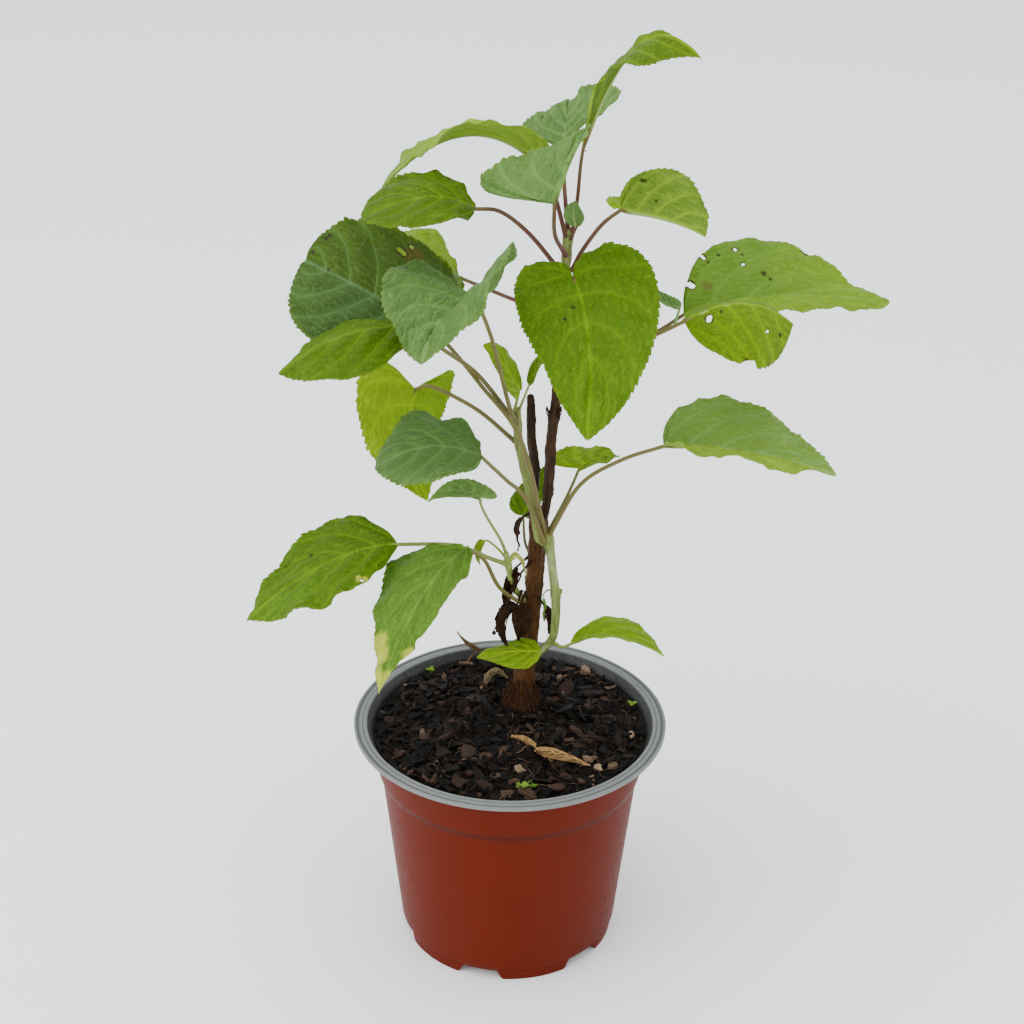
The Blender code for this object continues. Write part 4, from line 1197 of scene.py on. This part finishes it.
def slabs(places, sizes, turns, seed):
    """Chips as whole arrays: four rings of points, bent and uneven, turned by three angles.

    A ring's points lie at nearly even angles with uneven radii; the end rings are drawn in. A
    slab is bowed along its length by the square of the distance from its middle.
    """
    draw = np.random.default_rng(seed)
    count = len(places)
    length, width, thickness = sizes.T[:, :, None, None]
    angle = circle(CHIP_SIDES) + draw.uniform(-0.2, 0.2, (count, 1, CHIP_SIDES))
    radius = draw.uniform(0.58, 1.18, (count, 1, CHIP_SIDES)) * np.array([0.80, 1.0, 0.98, 0.86])[:, None]
    across = radius * np.cos(angle)
    z = np.array([-1.0, -0.6, 0.7, 1.0])[:, None] + draw.uniform(-0.10, 0.10, (count, 4, CHIP_SIDES))
    z = z * thickness + draw.uniform(-0.22, 0.22, (count, 1, 1)) * length * across**2
    body = np.stack([across * length, radius * np.sin(angle) * width, z], -1).reshape(count, -1, 3)
    for (a, b), turn in zip([(1, 2), (0, 2), (0, 1)], turns.T):
        c, s = np.cos(turn)[:, None], np.sin(turn)[:, None]
        first, second = body[..., a] * c - body[..., b] * s, body[..., a] * s + body[..., b] * c
        body[..., a], body[..., b] = first, second
    foot = np.array([[3, 2, 1, 0], [7, 4, 3, 0], [7, 6, 5, 4]])
    top = 3 * CHIP_SIDES + np.array([[0, 1, 2, 3], [0, 3, 4, 7], [4, 5, 6, 7]])
    quads = np.vstack([grid_quads(4, CHIP_SIDES, closed_columns=True), foot, top])
    return body + places[:, None], quads + np.arange(count)[:, None, None] * CHIP_POINTS


def scatter(shape, sort, count, draw):
    """Adds chips of one sort, more of them small than large, strewn evenly over the disc."""
    r = np.sqrt(draw.uniform(0, 1, count)) * sort.spread
    turn = draw.uniform(0, 2 * math.pi, count)
    shortest, longest = sort.lengths
    length = shortest + (longest - shortest) * draw.uniform(0, 1, count) ** 2.2
    width = length * draw.uniform(*sort.widths, count)
    thickness = np.maximum(length * draw.uniform(*sort.thicknesses, count), 0.25)
    r = np.minimum(r, np.maximum(0, inside_radius(MIX_EDGE_Z) - 0.8 - length / 2))
    x, y = r * np.cos(turn), r * np.sin(turn)
    tilts = [draw.normal(0, sort.tilt, count) for _ in range(2)]
    turns = np.column_stack([*tilts, draw.uniform(0, 2 * math.pi, count)])
    body, quads = slabs(np.column_stack([x, y, mix_height(x, y) + sort.lift * length]),
                        np.column_stack([length, width, thickness]) / 2, turns, sort.seed)
    tone = np.clip(draw.beta(*sort.tones, count), 0, 1)
    shape.add(body, quads, tone=np.repeat(tone, CHIP_POINTS), kind=1.0)


def add_fibres(shape, count, draw):
    """Adds root fibres: thin tubes that curve by an even turn and bow up off the mix."""
    for _ in range(count):
        r, turn = math.sqrt(draw.uniform(0, 1)) * 68, draw.uniform(0, 2 * math.pi)
        way, bend, length = draw.uniform(0, 2 * math.pi), draw.normal(0, 1.2), draw.uniform(4, 15)
        f = np.linspace(0, 1, 8)
        heading = way + bend * f
        steps = np.stack([np.cos(heading), np.sin(heading)], -1) * length / 8
        path = np.array([r * math.cos(turn), r * math.sin(turn)]) + np.cumsum(steps, 0)
        path = path * np.minimum(1, 71 / np.maximum(np.hypot(path[:, 0], path[:, 1]), 1))[:, None]
        z = mix_height(path[:, 0], path[:, 1]) + 0.6 + draw.uniform(0.3, 1.6) * np.sin(f * math.pi)
        radii = np.full(8, draw.uniform(0.07, 0.20))
        add_tube(shape, np.column_stack([path, z]), radii, 4, tone=draw.uniform(0.55, 0.97), kind=1.0)


def mix_material(settings):
    """Bark chips and peat: a tone for each chip, streaked along its grain, over nearly black fines."""
    net = Net("potting_mix_surface")
    place = net.place()
    grain, fine = net.noise(place, 1.3, 4.0, 0.6), net.noise(place, 0.32, 3.0, 0.65)
    streak = net.noise(net.stretch(place, 0.35, 1.0, 1.0), 0.55, 3.0, 0.6)
    chip = net.ramp((net.attribute("tone") + (streak - 0.5) * 0.26).clamp(), CHIP_TONES)
    ground = net.mix(grain, settings.mix_dark, times(settings.mix_dark, 2.6))
    colour = net.mix(net.attribute("kind").above(0.2, 0.2), ground, chip)
    colour = net.mix(fine.above(0.66, 0.08) * 0.22, colour, MIX_DUST)
    normal = net.bump(grain * 0.5 + fine * 0.22 + streak * 0.16, strength=0.9)
    return net.surface(colour, 0.62 + (fine - 0.5) * 0.4, normal, 0.1)


class HYD_OT_mix(bpy.types.Operator):
    """Builds the potting mix: a lumpy surface under loose bark chips, grains and root fibres"""

    bl_idname = "hydrangea.mix"
    bl_label = "Potting mix"

    def execute(self, context):
        settings = context.scene.hyd_pot
        draw = np.random.default_rng(17)
        mix, grains = Shape(), Shape()
        rings, sides = 90, 260
        r = np.linspace(0.012, 1, rings)[:, None] * MIX_RADIUS
        x, y = r * np.cos(circle(sides)), r * np.sin(circle(sides))
        narrower = (inside_radius(COLLAR_FOOT_Z + 1) - 0.8) / MIX_RADIUS
        foot = np.stack([x[-1] * narrower, y[-1] * narrower, np.full(sides, COLLAR_FOOT_Z + 1)], -1)
        top = np.stack([x, y, mix_height(x, y)], -1).reshape(-1, 3)
        mix.add(np.vstack([top, foot]), grid_quads(rings + 1, sides, closed_columns=True),
                tube_ends(rings + 1, sides), tone=0.1, kind=0.0)
        scatter(mix, SMALL_CHIPS, settings.chip_count, draw)
        scatter(mix, LARGE_CHIPS, settings.chip_count // 4, draw)
        scatter(grains, GRAINS, settings.grain_count, draw)
        x, y, *sizes, tone = STONES.T
        tilts, spins = draw.normal(0, 0.25, (len(STONES), 2)), draw.uniform(0, 6, len(STONES))
        body, quads = slabs(np.column_stack([x, y, mix_height(x, y) + 0.8]), np.transpose(sizes) / 2,
                            np.column_stack([tilts, spins]), 5)
        mix.add(body, quads, tone=np.repeat(tone, CHIP_POINTS), kind=1.0)
        add_fibres(mix, settings.fibre_count, draw)
        surface, slot = mix_material(settings), "potting_mix"
        finish_piece(mix.build("potting_mix_visual", [surface], sharp=24), "potting_mix", slot=slot)
        finish_piece(grains.build("mix_grains", [surface], sharp=24), slot=slot)
        return {"FINISHED"}


# ---------------------------------------------------------------- stems

# Rings where leaves grew: the height, how far it swells and how long it is, in mm
NODE_RINGS = {
    "trunk": [(160, 0.3, 3), (206, 0.35, 3), (238, 0.5, 4)],
    "dead_stub": [(270, 0.35, 2), (297, 0.35, 2)],
    "old_cane": [(262, 0.5, 2.5), (286, 0.45, 2), (306, 0.8, 2.5), (328, 0.7, 2.5), (340, 0.6, 2)],
    "top_shoot": [(350, 0.5, 2.5), (356, 0.4, 2), (375, 0.5, 2.5), (380, 0.5, 2), (396, 0.5, 2.5),
                  (404, 0.4, 2)],
    "right_shoot": [(204, 0.65, 1.8), (236, 0.5, 4)],
    "centre_shoot": [(280, 0.3, 2), (293, 0.4, 2.5), (305, 0.5, 2.5)],
    "low_shoot": [(205, 0.35, 2), (222, 0.5, 2.5)],
}
SUNK_FEET = {"trunk": (6, 22, 123.3), "centre_shoot": (17.0, 9.9, 235.0)}  # the others run straight on
RELIEF_SHARES = {WOOD: 1.0, DEAD_WOOD: 0.6, GREEN_SHOOT: 0.16}
FLARE_TOP, FLARE_FOOT = 142, 124  # heights between which the trunk's ridges grow
BLOOM, SHOOT_DOTS = (0.42, 0.46, 0.28), (0.16, 0.10, 0.05)


def bark_material(name, base, flush, strips_size, green=False):
    """Wood or shoot: strips along the stem, darker cracks, flushed patches, and dots on shoots."""
    net = Net(name)
    place = net.place()
    strips = net.noise(net.stretch(place, 1.0, 1.0, 0.10), strips_size, 4.0, 0.6, 0.4)
    fine = net.noise(net.stretch(place, 1.0, 1.0, 0.3), 0.45, 4.0, 0.6)
    broad = net.noise(place, 15.0, 3.0)
    colour = net.mix(strips.above(0.34, 0.3), times(base, 0.45 if green else 0.28), base)
    colour = net.mix(broad.above(0.45, 0.3) * 0.7, colour, flush)
    colour = net.mix(fine.above(0.54, 0.22) * 0.5, colour, times(base, 2.2))
    if green:
        dots = net.cells(net.stretch(place, 1.0, 1.0, 0.45), 1.6).below(0.10, 0.06)
        colour = net.mix(dots * 0.35, colour, SHOOT_DOTS)
    normal = net.bump(strips * 0.55 + fine * 0.18, strength=0.35 if green else 1.0)
    return net.surface(colour, 0.62 + (fine - 0.5) * 0.3, normal, 0.15)


def bark_relief(stem, line, sides, height):
    """How far a stem stands out round each ring: strips that run along it, faded at its ends.

    Strips are sums of sines on a cylinder drawn out along the stem. Towards its foot the trunk
    grows ridges, by a sine of the angle round it.
    """
    around = circle(sides)
    z = np.broadcast_to(line[:, 2][:, None], (len(line), sides))
    turned = np.stack(np.broadcast_arrays(6 * np.cos(around), 6 * np.sin(around), z * 0.10), -1)
    relief = height * (ripple(turned, 5.5, 31) + 0.5 * ripple(turned * [1, 1, 2.5], 2.2, 32))
    if stem.slot == WOOD:
        ridges = 0.8 * np.abs(np.sin(around * 2.5 + 0.6)) ** 1.5 + 0.8 * ripple(turned, 4.0, 33)
        relief = relief + fade(z, FLARE_TOP, FLARE_FOOT) * ridges
    from_end = np.minimum(np.arange(len(line)), np.arange(len(line))[::-1])
    return relief * np.clip(from_end / 4 + 0.3, 0, 1)[:, None]


def add_stem(shape, name, stem, relief_height):
    """Adds a stem: a tube with node rings and bark, its foot sunk in what carries it and its top domed."""
    line = smooth_path(stem.line, 40 * (len(stem.line) - 1))
    radii = stem_radii(stem, len(line))
    for height, swelling, reach in NODE_RINGS[name]:
        away = line[:, 2] - height
        radii = radii + swelling * np.exp(-((away / reach) ** 2)) * (1 - 0.35 * (abs(away) < 0.5))
    sides = 48 if stem.slot == WOOD else 28
    relief = bark_relief(stem, line, sides, relief_height * RELIEF_SHARES[stem.slot])
    foot = SUNK_FEET.get(name, line[0] + unit(line[0] - line[1]) * 2.4)
    end = unit(line[-1] - line[-2])
    path = np.vstack([foot, line, line[-1] + end * 0.9, line[-1] + end * 1.5])
    foot_radius = radii[0] * (1.1 if stem.slot == WOOD else 0.95)
    radii = np.concatenate([[foot_radius], radii, radii[-1] * np.array([0.82, 0.35])])
    add_tube(shape, path, radii, sides, np.vstack([relief[:1], relief, relief[-1:] * 0.5, relief[-1:] * 0]))


class HYD_OT_stems(bpy.types.Operator):
    """Builds the trunk, canes and shoots as fine tubes with bark strips and node rings"""

    bl_idname = "hydrangea.stems"
    bl_label = "Stems"

    def execute(self, context):
        settings = context.scene.hyd_stem
        bark, dead, shoot = settings.bark, settings.dead, settings.shoot
        green = bark_material("green_shoot", shoot, (0.20, 0.13, 0.06), 1.8, True)
        surfaces = {
            "trunk": bark_material("bark", bark, (0.105, 0.044, 0.012), 1.5),
            "dead_stub": bark_material("dead_wood", dead, (0.070, 0.036, 0.014), 1.0),
            "old_cane": bark_material("old_cane_bark", times(dead, 1.25), (0.080, 0.030, 0.010), 1.0),
            "top_shoot": green,
            "right_shoot": bark_material("bloomed_shoot", times(shoot, 1.15), BLOOM, 1.8, True),
            "centre_shoot": green,
            "low_shoot": bark_material("pale_shoot", (0.30, 0.36, 0.09), (0.22, 0.30, 0.05), 1.8, True),
        }
        for name, stem in STEMS.items():
            shape = Shape()
            add_stem(shape, name, stem, settings.bark_relief / MM)
            finish_piece(shape.build(name + "_visual", [surfaces[name]], sharp=60), name, slot=stem.slot)
        return {"FINISHED"}


# ---------------------------------------------------------------- small things

DEAD_BROWN, TAN, STRAW = (0.026, 0.0100, 0.0034), (0.36, 0.21, 0.085), (0.40, 0.46, 0.085)
CURL, SPIKE = (0.24, 0.17, 0.09), (0.13, 0.075, 0.035)


def sprig(colour, crumple, joint, middle, tip, widths, folds, start, route=(), stem="trunk"):
    """A small leaf or scrap, built by the leaves' rule: its colour, its crumpling in mm and its sizes."""
    return colour, crumple, leaf(joint, middle, tip, widths, stem, start, route, folds)


SPRIGS = {
    "dead_leaf_a": sprig(
        DEAD_BROWN, 1.3, (5, 15, 214), (1, 12, 204), (-2, 11, 192), (7, 6), (70, 55), (9, 17.4, 218)),
    "dead_leaf_b": sprig(
        DEAD_BROWN, 1.5, (3, 12, 196), (-3, 10, 186), (-1, 9, 171), (6, 8), (35, 75), (5, 13, 202)),
    "dead_leaf_c": sprig(
        DEAD_BROWN, 1.4, (5, 13, 196), (6, 10, 187), (4, 12, 174), (6, 6), (60, -30), (7, 14, 201)),
    "dead_leaf_d": sprig(
        DEAD_BROWN, 0.8, (18, 17, 193), (20, 15, 186), (20, 16, 176), (3.5, 3), (30, 40), (16, 18, 196)),
    "dead_bud": sprig(
        DEAD_BROWN, 0.8, (3, 13, 219), (1, 11, 216), (4, 10, 211), (3, 3), (80, 60), (7, 17, 221)),
    "bark_flake": sprig(
        DEAD_BROWN, 0.7, (5, 17.5, 246), (3, 17, 238), (4, 17.2, 226), (2.6, 2.2), (20, 20),
        (7, 18, 247)),
    "bract": sprig(
        STRAW, 0.4, (0, 11, 224), (4, 11.5, 225), (8, 12.5, 214), (2.2, 2.6), (50, 30),
        (-1.5, 10.5, 222)),
    "tiny_leaf": sprig(
        LIME, 0.2, (-14.6, 8, 237), (-17, 7, 230), (-16.5, 7, 222.5), (4, 3), (20, 30),
        (-2.5, 8, 226), [(-7, 8, 232), (-12, 8, 236.5)], "low_shoot"),
    "lobe_leaf": sprig(
        GREY_AND_PAINTED_SHEEN, 0.2, (83, 15, 366), (76, 20, 367), (69, 27, 373), (5, 7), (30, 20),
        (82, 24, 355.5), stem="right_shoot"),
    "cane_bud_a": sprig(
        DEAD_BROWN, 0.1, (22.3, 13.2, 306), (24.2, 12.4, 309), (24.8, 12, 313), (1.6, 1.6), (30, 30),
        (21.8, 13.6, 304), stem="old_cane"),
    "cane_bud_b": sprig(
        DEAD_BROWN, 0.1, (19.0, 13.4, 307), (17.4, 12.6, 310), (17.2, 12.2, 313), (1.5, 1.5),
        (30, 30), (20, 13.8, 305), stem="old_cane"),
    "dry_leaf_a": sprig(
        TAN, 0.7, (1, -15, 128.5), (10, -23, 130.5), (22, -37, 129.0), (3.5, 3.2), (65, 35),
        (0, -14, 128)),
    "dry_leaf_b": sprig(
        TAN, 0.9, (15, -29, 129), (27, -39, 132), (43, -40, 128.6), (5.5, 4.5), (65, 50), (13, -27, 129)),
    "dry_curl": sprig(
        CURL, 0.8, (-14, 41, 128.5), (-8, 46, 133), (-1, 45, 128.5), (3.4, 3), (60, 40), (-15, 40, 128)),
    "dry_spike": sprig(
        SPIKE, 0.4, (-17, 66, 135.5), (-24, 66, 139), (-31, 66, 148), (2.2, 2.6), (50, 50),
        (-26, 64, 126), [(-22, 65, 133)]),
}
SEEDLINGS = ((5.2, -58.6), (8.6, -61.4), (12.0, -59.2), (9.8, -57.4), (-45.5, 57.0), (68.0, 22.0))


def dry_material(name, colour):
    """A dry or young scrap: streaked along its length, blotched, and rough."""
    net = Net(name)
    place = net.place()
    fine, blotch = net.noise(place, 0.8, 4.0, 0.62), net.noise(place, 4.5, 3.0)
    tinted = net.mix(blotch.above(0.4, 0.3) * 0.6, colour, times(colour, 0.45))
    tinted = net.mix(fine.above(0.5, 0.25) * 0.5, tinted, times(colour, 1.7))
    return net.surface(tinted, 0.66, net.bump(fine + blotch, 0.5), 0.1)


def add_seedlings(shape, settings, draw):
    """Adds seedlings: three tiny leaves each, about a third of a turn apart, just above the mix."""
    for x, y in SEEDLINGS:
        for turn in draw.uniform(0, 2 * math.pi) + np.arange(3) * 2.1:
            z = float(mix_height(x, y)) + 1.2
            way = np.array([math.cos(turn), math.sin(turn), 0.25])
            joint = np.array([x, y, z]) + way * 0.4
            item = leaf(joint, joint + way * 1.3 + [0, 0, 0.3], joint + way * 2.7, (1.1, 1.1), "trunk",
                        (x, y, z - 1.4), (), (10, 10))
            add_blade(shape, "seedling", item, settings)
            add_stalk(shape, item)


def add_tendrils(shape):
    """Adds the withered stalk on the right-hand shoot: two thin curled tubes and two knobs at its ring."""
    thin = [(24.0, 11.5, 204), (20, 12, 205.5), (17.2, 13, 202), (17.6, 14, 196)]
    beaded = [(17.6, 14, 199), (18.6, 14, 194), (17.6, 14.4, 190), (18.2, 15, 185)]
    add_tube(shape, smooth_path(thin, 30), np.linspace(0.55, 0.25, 31), 8)
    add_tube(shape, smooth_path(beaded, 30), 0.5 + 0.3 * np.sin(np.arange(31) * 1.9) ** 2, 8)
    shape.add(*slabs(np.array([[26.3, 11.5, 205.0], [22.0, 11.0, 204.6]]),
                     np.array([[1.5, 1.3, 1.2], [1.3, 1.2, 1.0]]), np.zeros((2, 3)), 3))


def add_base_fibres(shape, draw):
    """Adds fibres that run down the trunk's flare and out over the mix, turning a little as they go."""
    for _ in range(150):
        turn, low = draw.uniform(0, 2 * math.pi), draw.uniform(0, 1)
        turns = turn + np.cumsum(draw.normal(0, 0.10, 6))
        reach = np.array([5.6, 6.6, 7.8, 9.4, 10.6, 12.2 + 3 * low]) + draw.normal(0, 0.35, 6)
        z = np.linspace(146 - 10 * low, 128.6, 6) + draw.normal(0, 0.7, 6)
        knots = np.column_stack([6.5 + reach * np.cos(turns), 22 + reach * np.sin(turns), z])
        add_tube(shape, smooth_path(knots, 20), np.full(21, draw.uniform(0.12, 0.42)), 5)


def add_berry(shape):
    """Adds the small round bud on the trunk's left, a ball as a tube of sine radii, and its stalk."""
    ball = np.linspace(0.05, math.pi - 0.05, 12)
    heights = 178.7 - 1.2 * np.cos(ball)
    add_tube(shape, np.column_stack([ball * 0 - 9.1, ball * 0 + 12, heights]), 1.2 * np.sin(ball), 14)
    stalk = smooth_path([(-9.1, 12, 179.6), (-8, 12, 183), (-5.5, 11.5, 185)], 14)
    add_tube(shape, stalk, np.full(len(stalk), 0.3), 6)


class HYD_OT_scraps(bpy.types.Operator):
    """Builds the dead leaves, buds, bracts, tendrils, seedlings, root fibres and dry litter"""

    bl_idname = "hydrangea.scraps"
    bl_label = "Scraps"

    def execute(self, context):
        settings = context.scene.hyd_leaf
        for name, (colour, crumple, item) in SPRIGS.items():
            shape = Shape()
            add_blade(shape, name, item, settings, crumple)
            add_stalk(shape, item)
            live = colour in (LIME, GREY_AND_PAINTED_SHEEN)
            surface = leaf_material(name, item, look(colour)) if live else dry_material(name, colour)
            piece = shape.build(name, [surface], **BLADE_FINISH)
            finish_piece(piece, slot=YOUNG_GREEN if live else DEAD_WOOD)

        draw = np.random.default_rng(8)
        green, brown = Shape(), Shape()
        add_seedlings(green, settings, draw)
        add_tendrils(green)
        surface = dry_material("seedling", (0.13, 0.24, 0.025))
        finish_piece(green.build("seedlings_and_tendrils", [surface]), slot=YOUNG_GREEN)
        add_base_fibres(brown, draw)
        add_berry(brown)
        surface = dry_material("base_fibres", (0.050, 0.020, 0.010))
        finish_piece(brown.build("base_fibres", [surface]), slot=WOOD)
        return {"FINISHED"}


# ---------------------------------------------------------------- stage

SKY, SKY_STRENGTH = (0.93, 0.97, 1.0), 1.8
LIGHTS = (  # name, power, size, place, target
    ("overhead", 42, 2.2, (-0.5, -0.5, 2.4), (0, 0, 0.25)),
    ("left", 13, 0.9, (-1.7, -0.9, 0.9), (0, 0, 0.2)),
)
LENS, SENSOR_WIDTH = 70.3125, 36.0  # mm


def area_light(name, energy, size, place, target):
    """A square light that faces its target."""
    light = bpy.data.lights.new(name, "AREA")
    light.energy, light.size = energy, size
    item = bpy.data.objects.new(name, light)
    item.location = place
    item.rotation_euler = (Vector(target) - Vector(place)).to_track_quat("-Z", "Y").to_euler()
    bpy.context.scene.collection.objects.link(item)


class HYD_OT_stage(bpy.types.Operator):
    """Sets up the pale floor, the soft lights and the camera"""

    bl_idname = "hydrangea.stage"
    bl_label = "Stage"

    def execute(self, context):
        scene, settings = context.scene, context.scene.hyd_stage
        mesh = bpy.data.meshes.new("floor")
        mesh.from_pydata([(-9, -9, 0), (9, -9, 0), (9, 9, 0), (-9, 9, 0)], [], [(0, 1, 2, 3)])
        mesh.materials.append(Net("floor").surface(settings.floor, 0.7))
        floor = bpy.data.objects.new("floor", mesh)
        scene.collection.objects.link(floor)

        scene.world = bpy.data.worlds.new("studio")
        scene.world.use_nodes = True
        sky = scene.world.node_tree.nodes["Background"].inputs
        sky["Color"].default_value, sky["Strength"].default_value = (*SKY, 1.0), SKY_STRENGTH
        for light in LIGHTS:
            area_light(*light)

        data = bpy.data.cameras.new("camera")
        data.lens, data.sensor_width = LENS, SENSOR_WIDTH
        camera = bpy.data.objects.new("camera", data)
        level = settings.elevation
        away = Vector((0, -math.cos(level), math.sin(level))) * settings.camera_distance
        camera.location = Vector((0, 0, settings.target_height)) + away
        turn = Matrix.Rotation(math.pi / 2 - level, 4, "X") @ Matrix.Rotation(settings.roll, 4, "Z")
        camera.rotation_euler = turn.to_euler()
        scene.collection.objects.link(camera)
        scene.camera = camera
        return {"FINISHED"}


class HYD_PT_panel(bpy.types.Panel):
    """Builds the hydrangea and edits its sizes and colours"""

    bl_label = "Potted hydrangea"
    bl_idname = "HYD_PT_panel"
    bl_space_type = "VIEW_3D"
    bl_region_type = "UI"
    bl_category = "Hydrangea"

    def draw(self, context):
        for kind, operator, key in STEPS:
            box = self.layout.box()
            box.label(text=operator.bl_label)
            settings = getattr(context.scene, key)
            for name in kind.__annotations__:
                box.prop(settings, name)
            box.operator(operator.bl_idname)


STEPS = (
    (HYD_PotSettings, HYD_OT_pot, "hyd_pot"),
    (HYD_PotSettings, HYD_OT_mix, "hyd_pot"),
    (HYD_StemSettings, HYD_OT_stems, "hyd_stem"),
    (HYD_LeafSettings, HYD_OT_leaves, "hyd_leaf"),
    (HYD_LeafSettings, HYD_OT_scraps, "hyd_leaf"),
    (HYD_StageSettings, HYD_OT_stage, "hyd_stage"),
)
SETTINGS = {key: kind for kind, _, key in STEPS}


def register():
    for key, kind in SETTINGS.items():
        bpy.utils.register_class(kind)
        setattr(bpy.types.Scene, key, PointerProperty(type=kind))
    for _, operator, _ in STEPS:
        bpy.utils.register_class(operator)
    bpy.utils.register_class(HYD_PT_panel)


def unregister():
    bpy.utils.unregister_class(HYD_PT_panel)
    for _, operator, _ in reversed(STEPS):
        bpy.utils.unregister_class(operator)
    for key, kind in SETTINGS.items():
        delattr(bpy.types.Scene, key)
        bpy.utils.unregister_class(kind)


def main():
    """Builds everything."""
    register()
    for _, operator, _ in STEPS:
        group, name = operator.bl_idname.split(".")
        getattr(getattr(bpy.ops, group), name)()


if __name__ == "__main__":
    main()
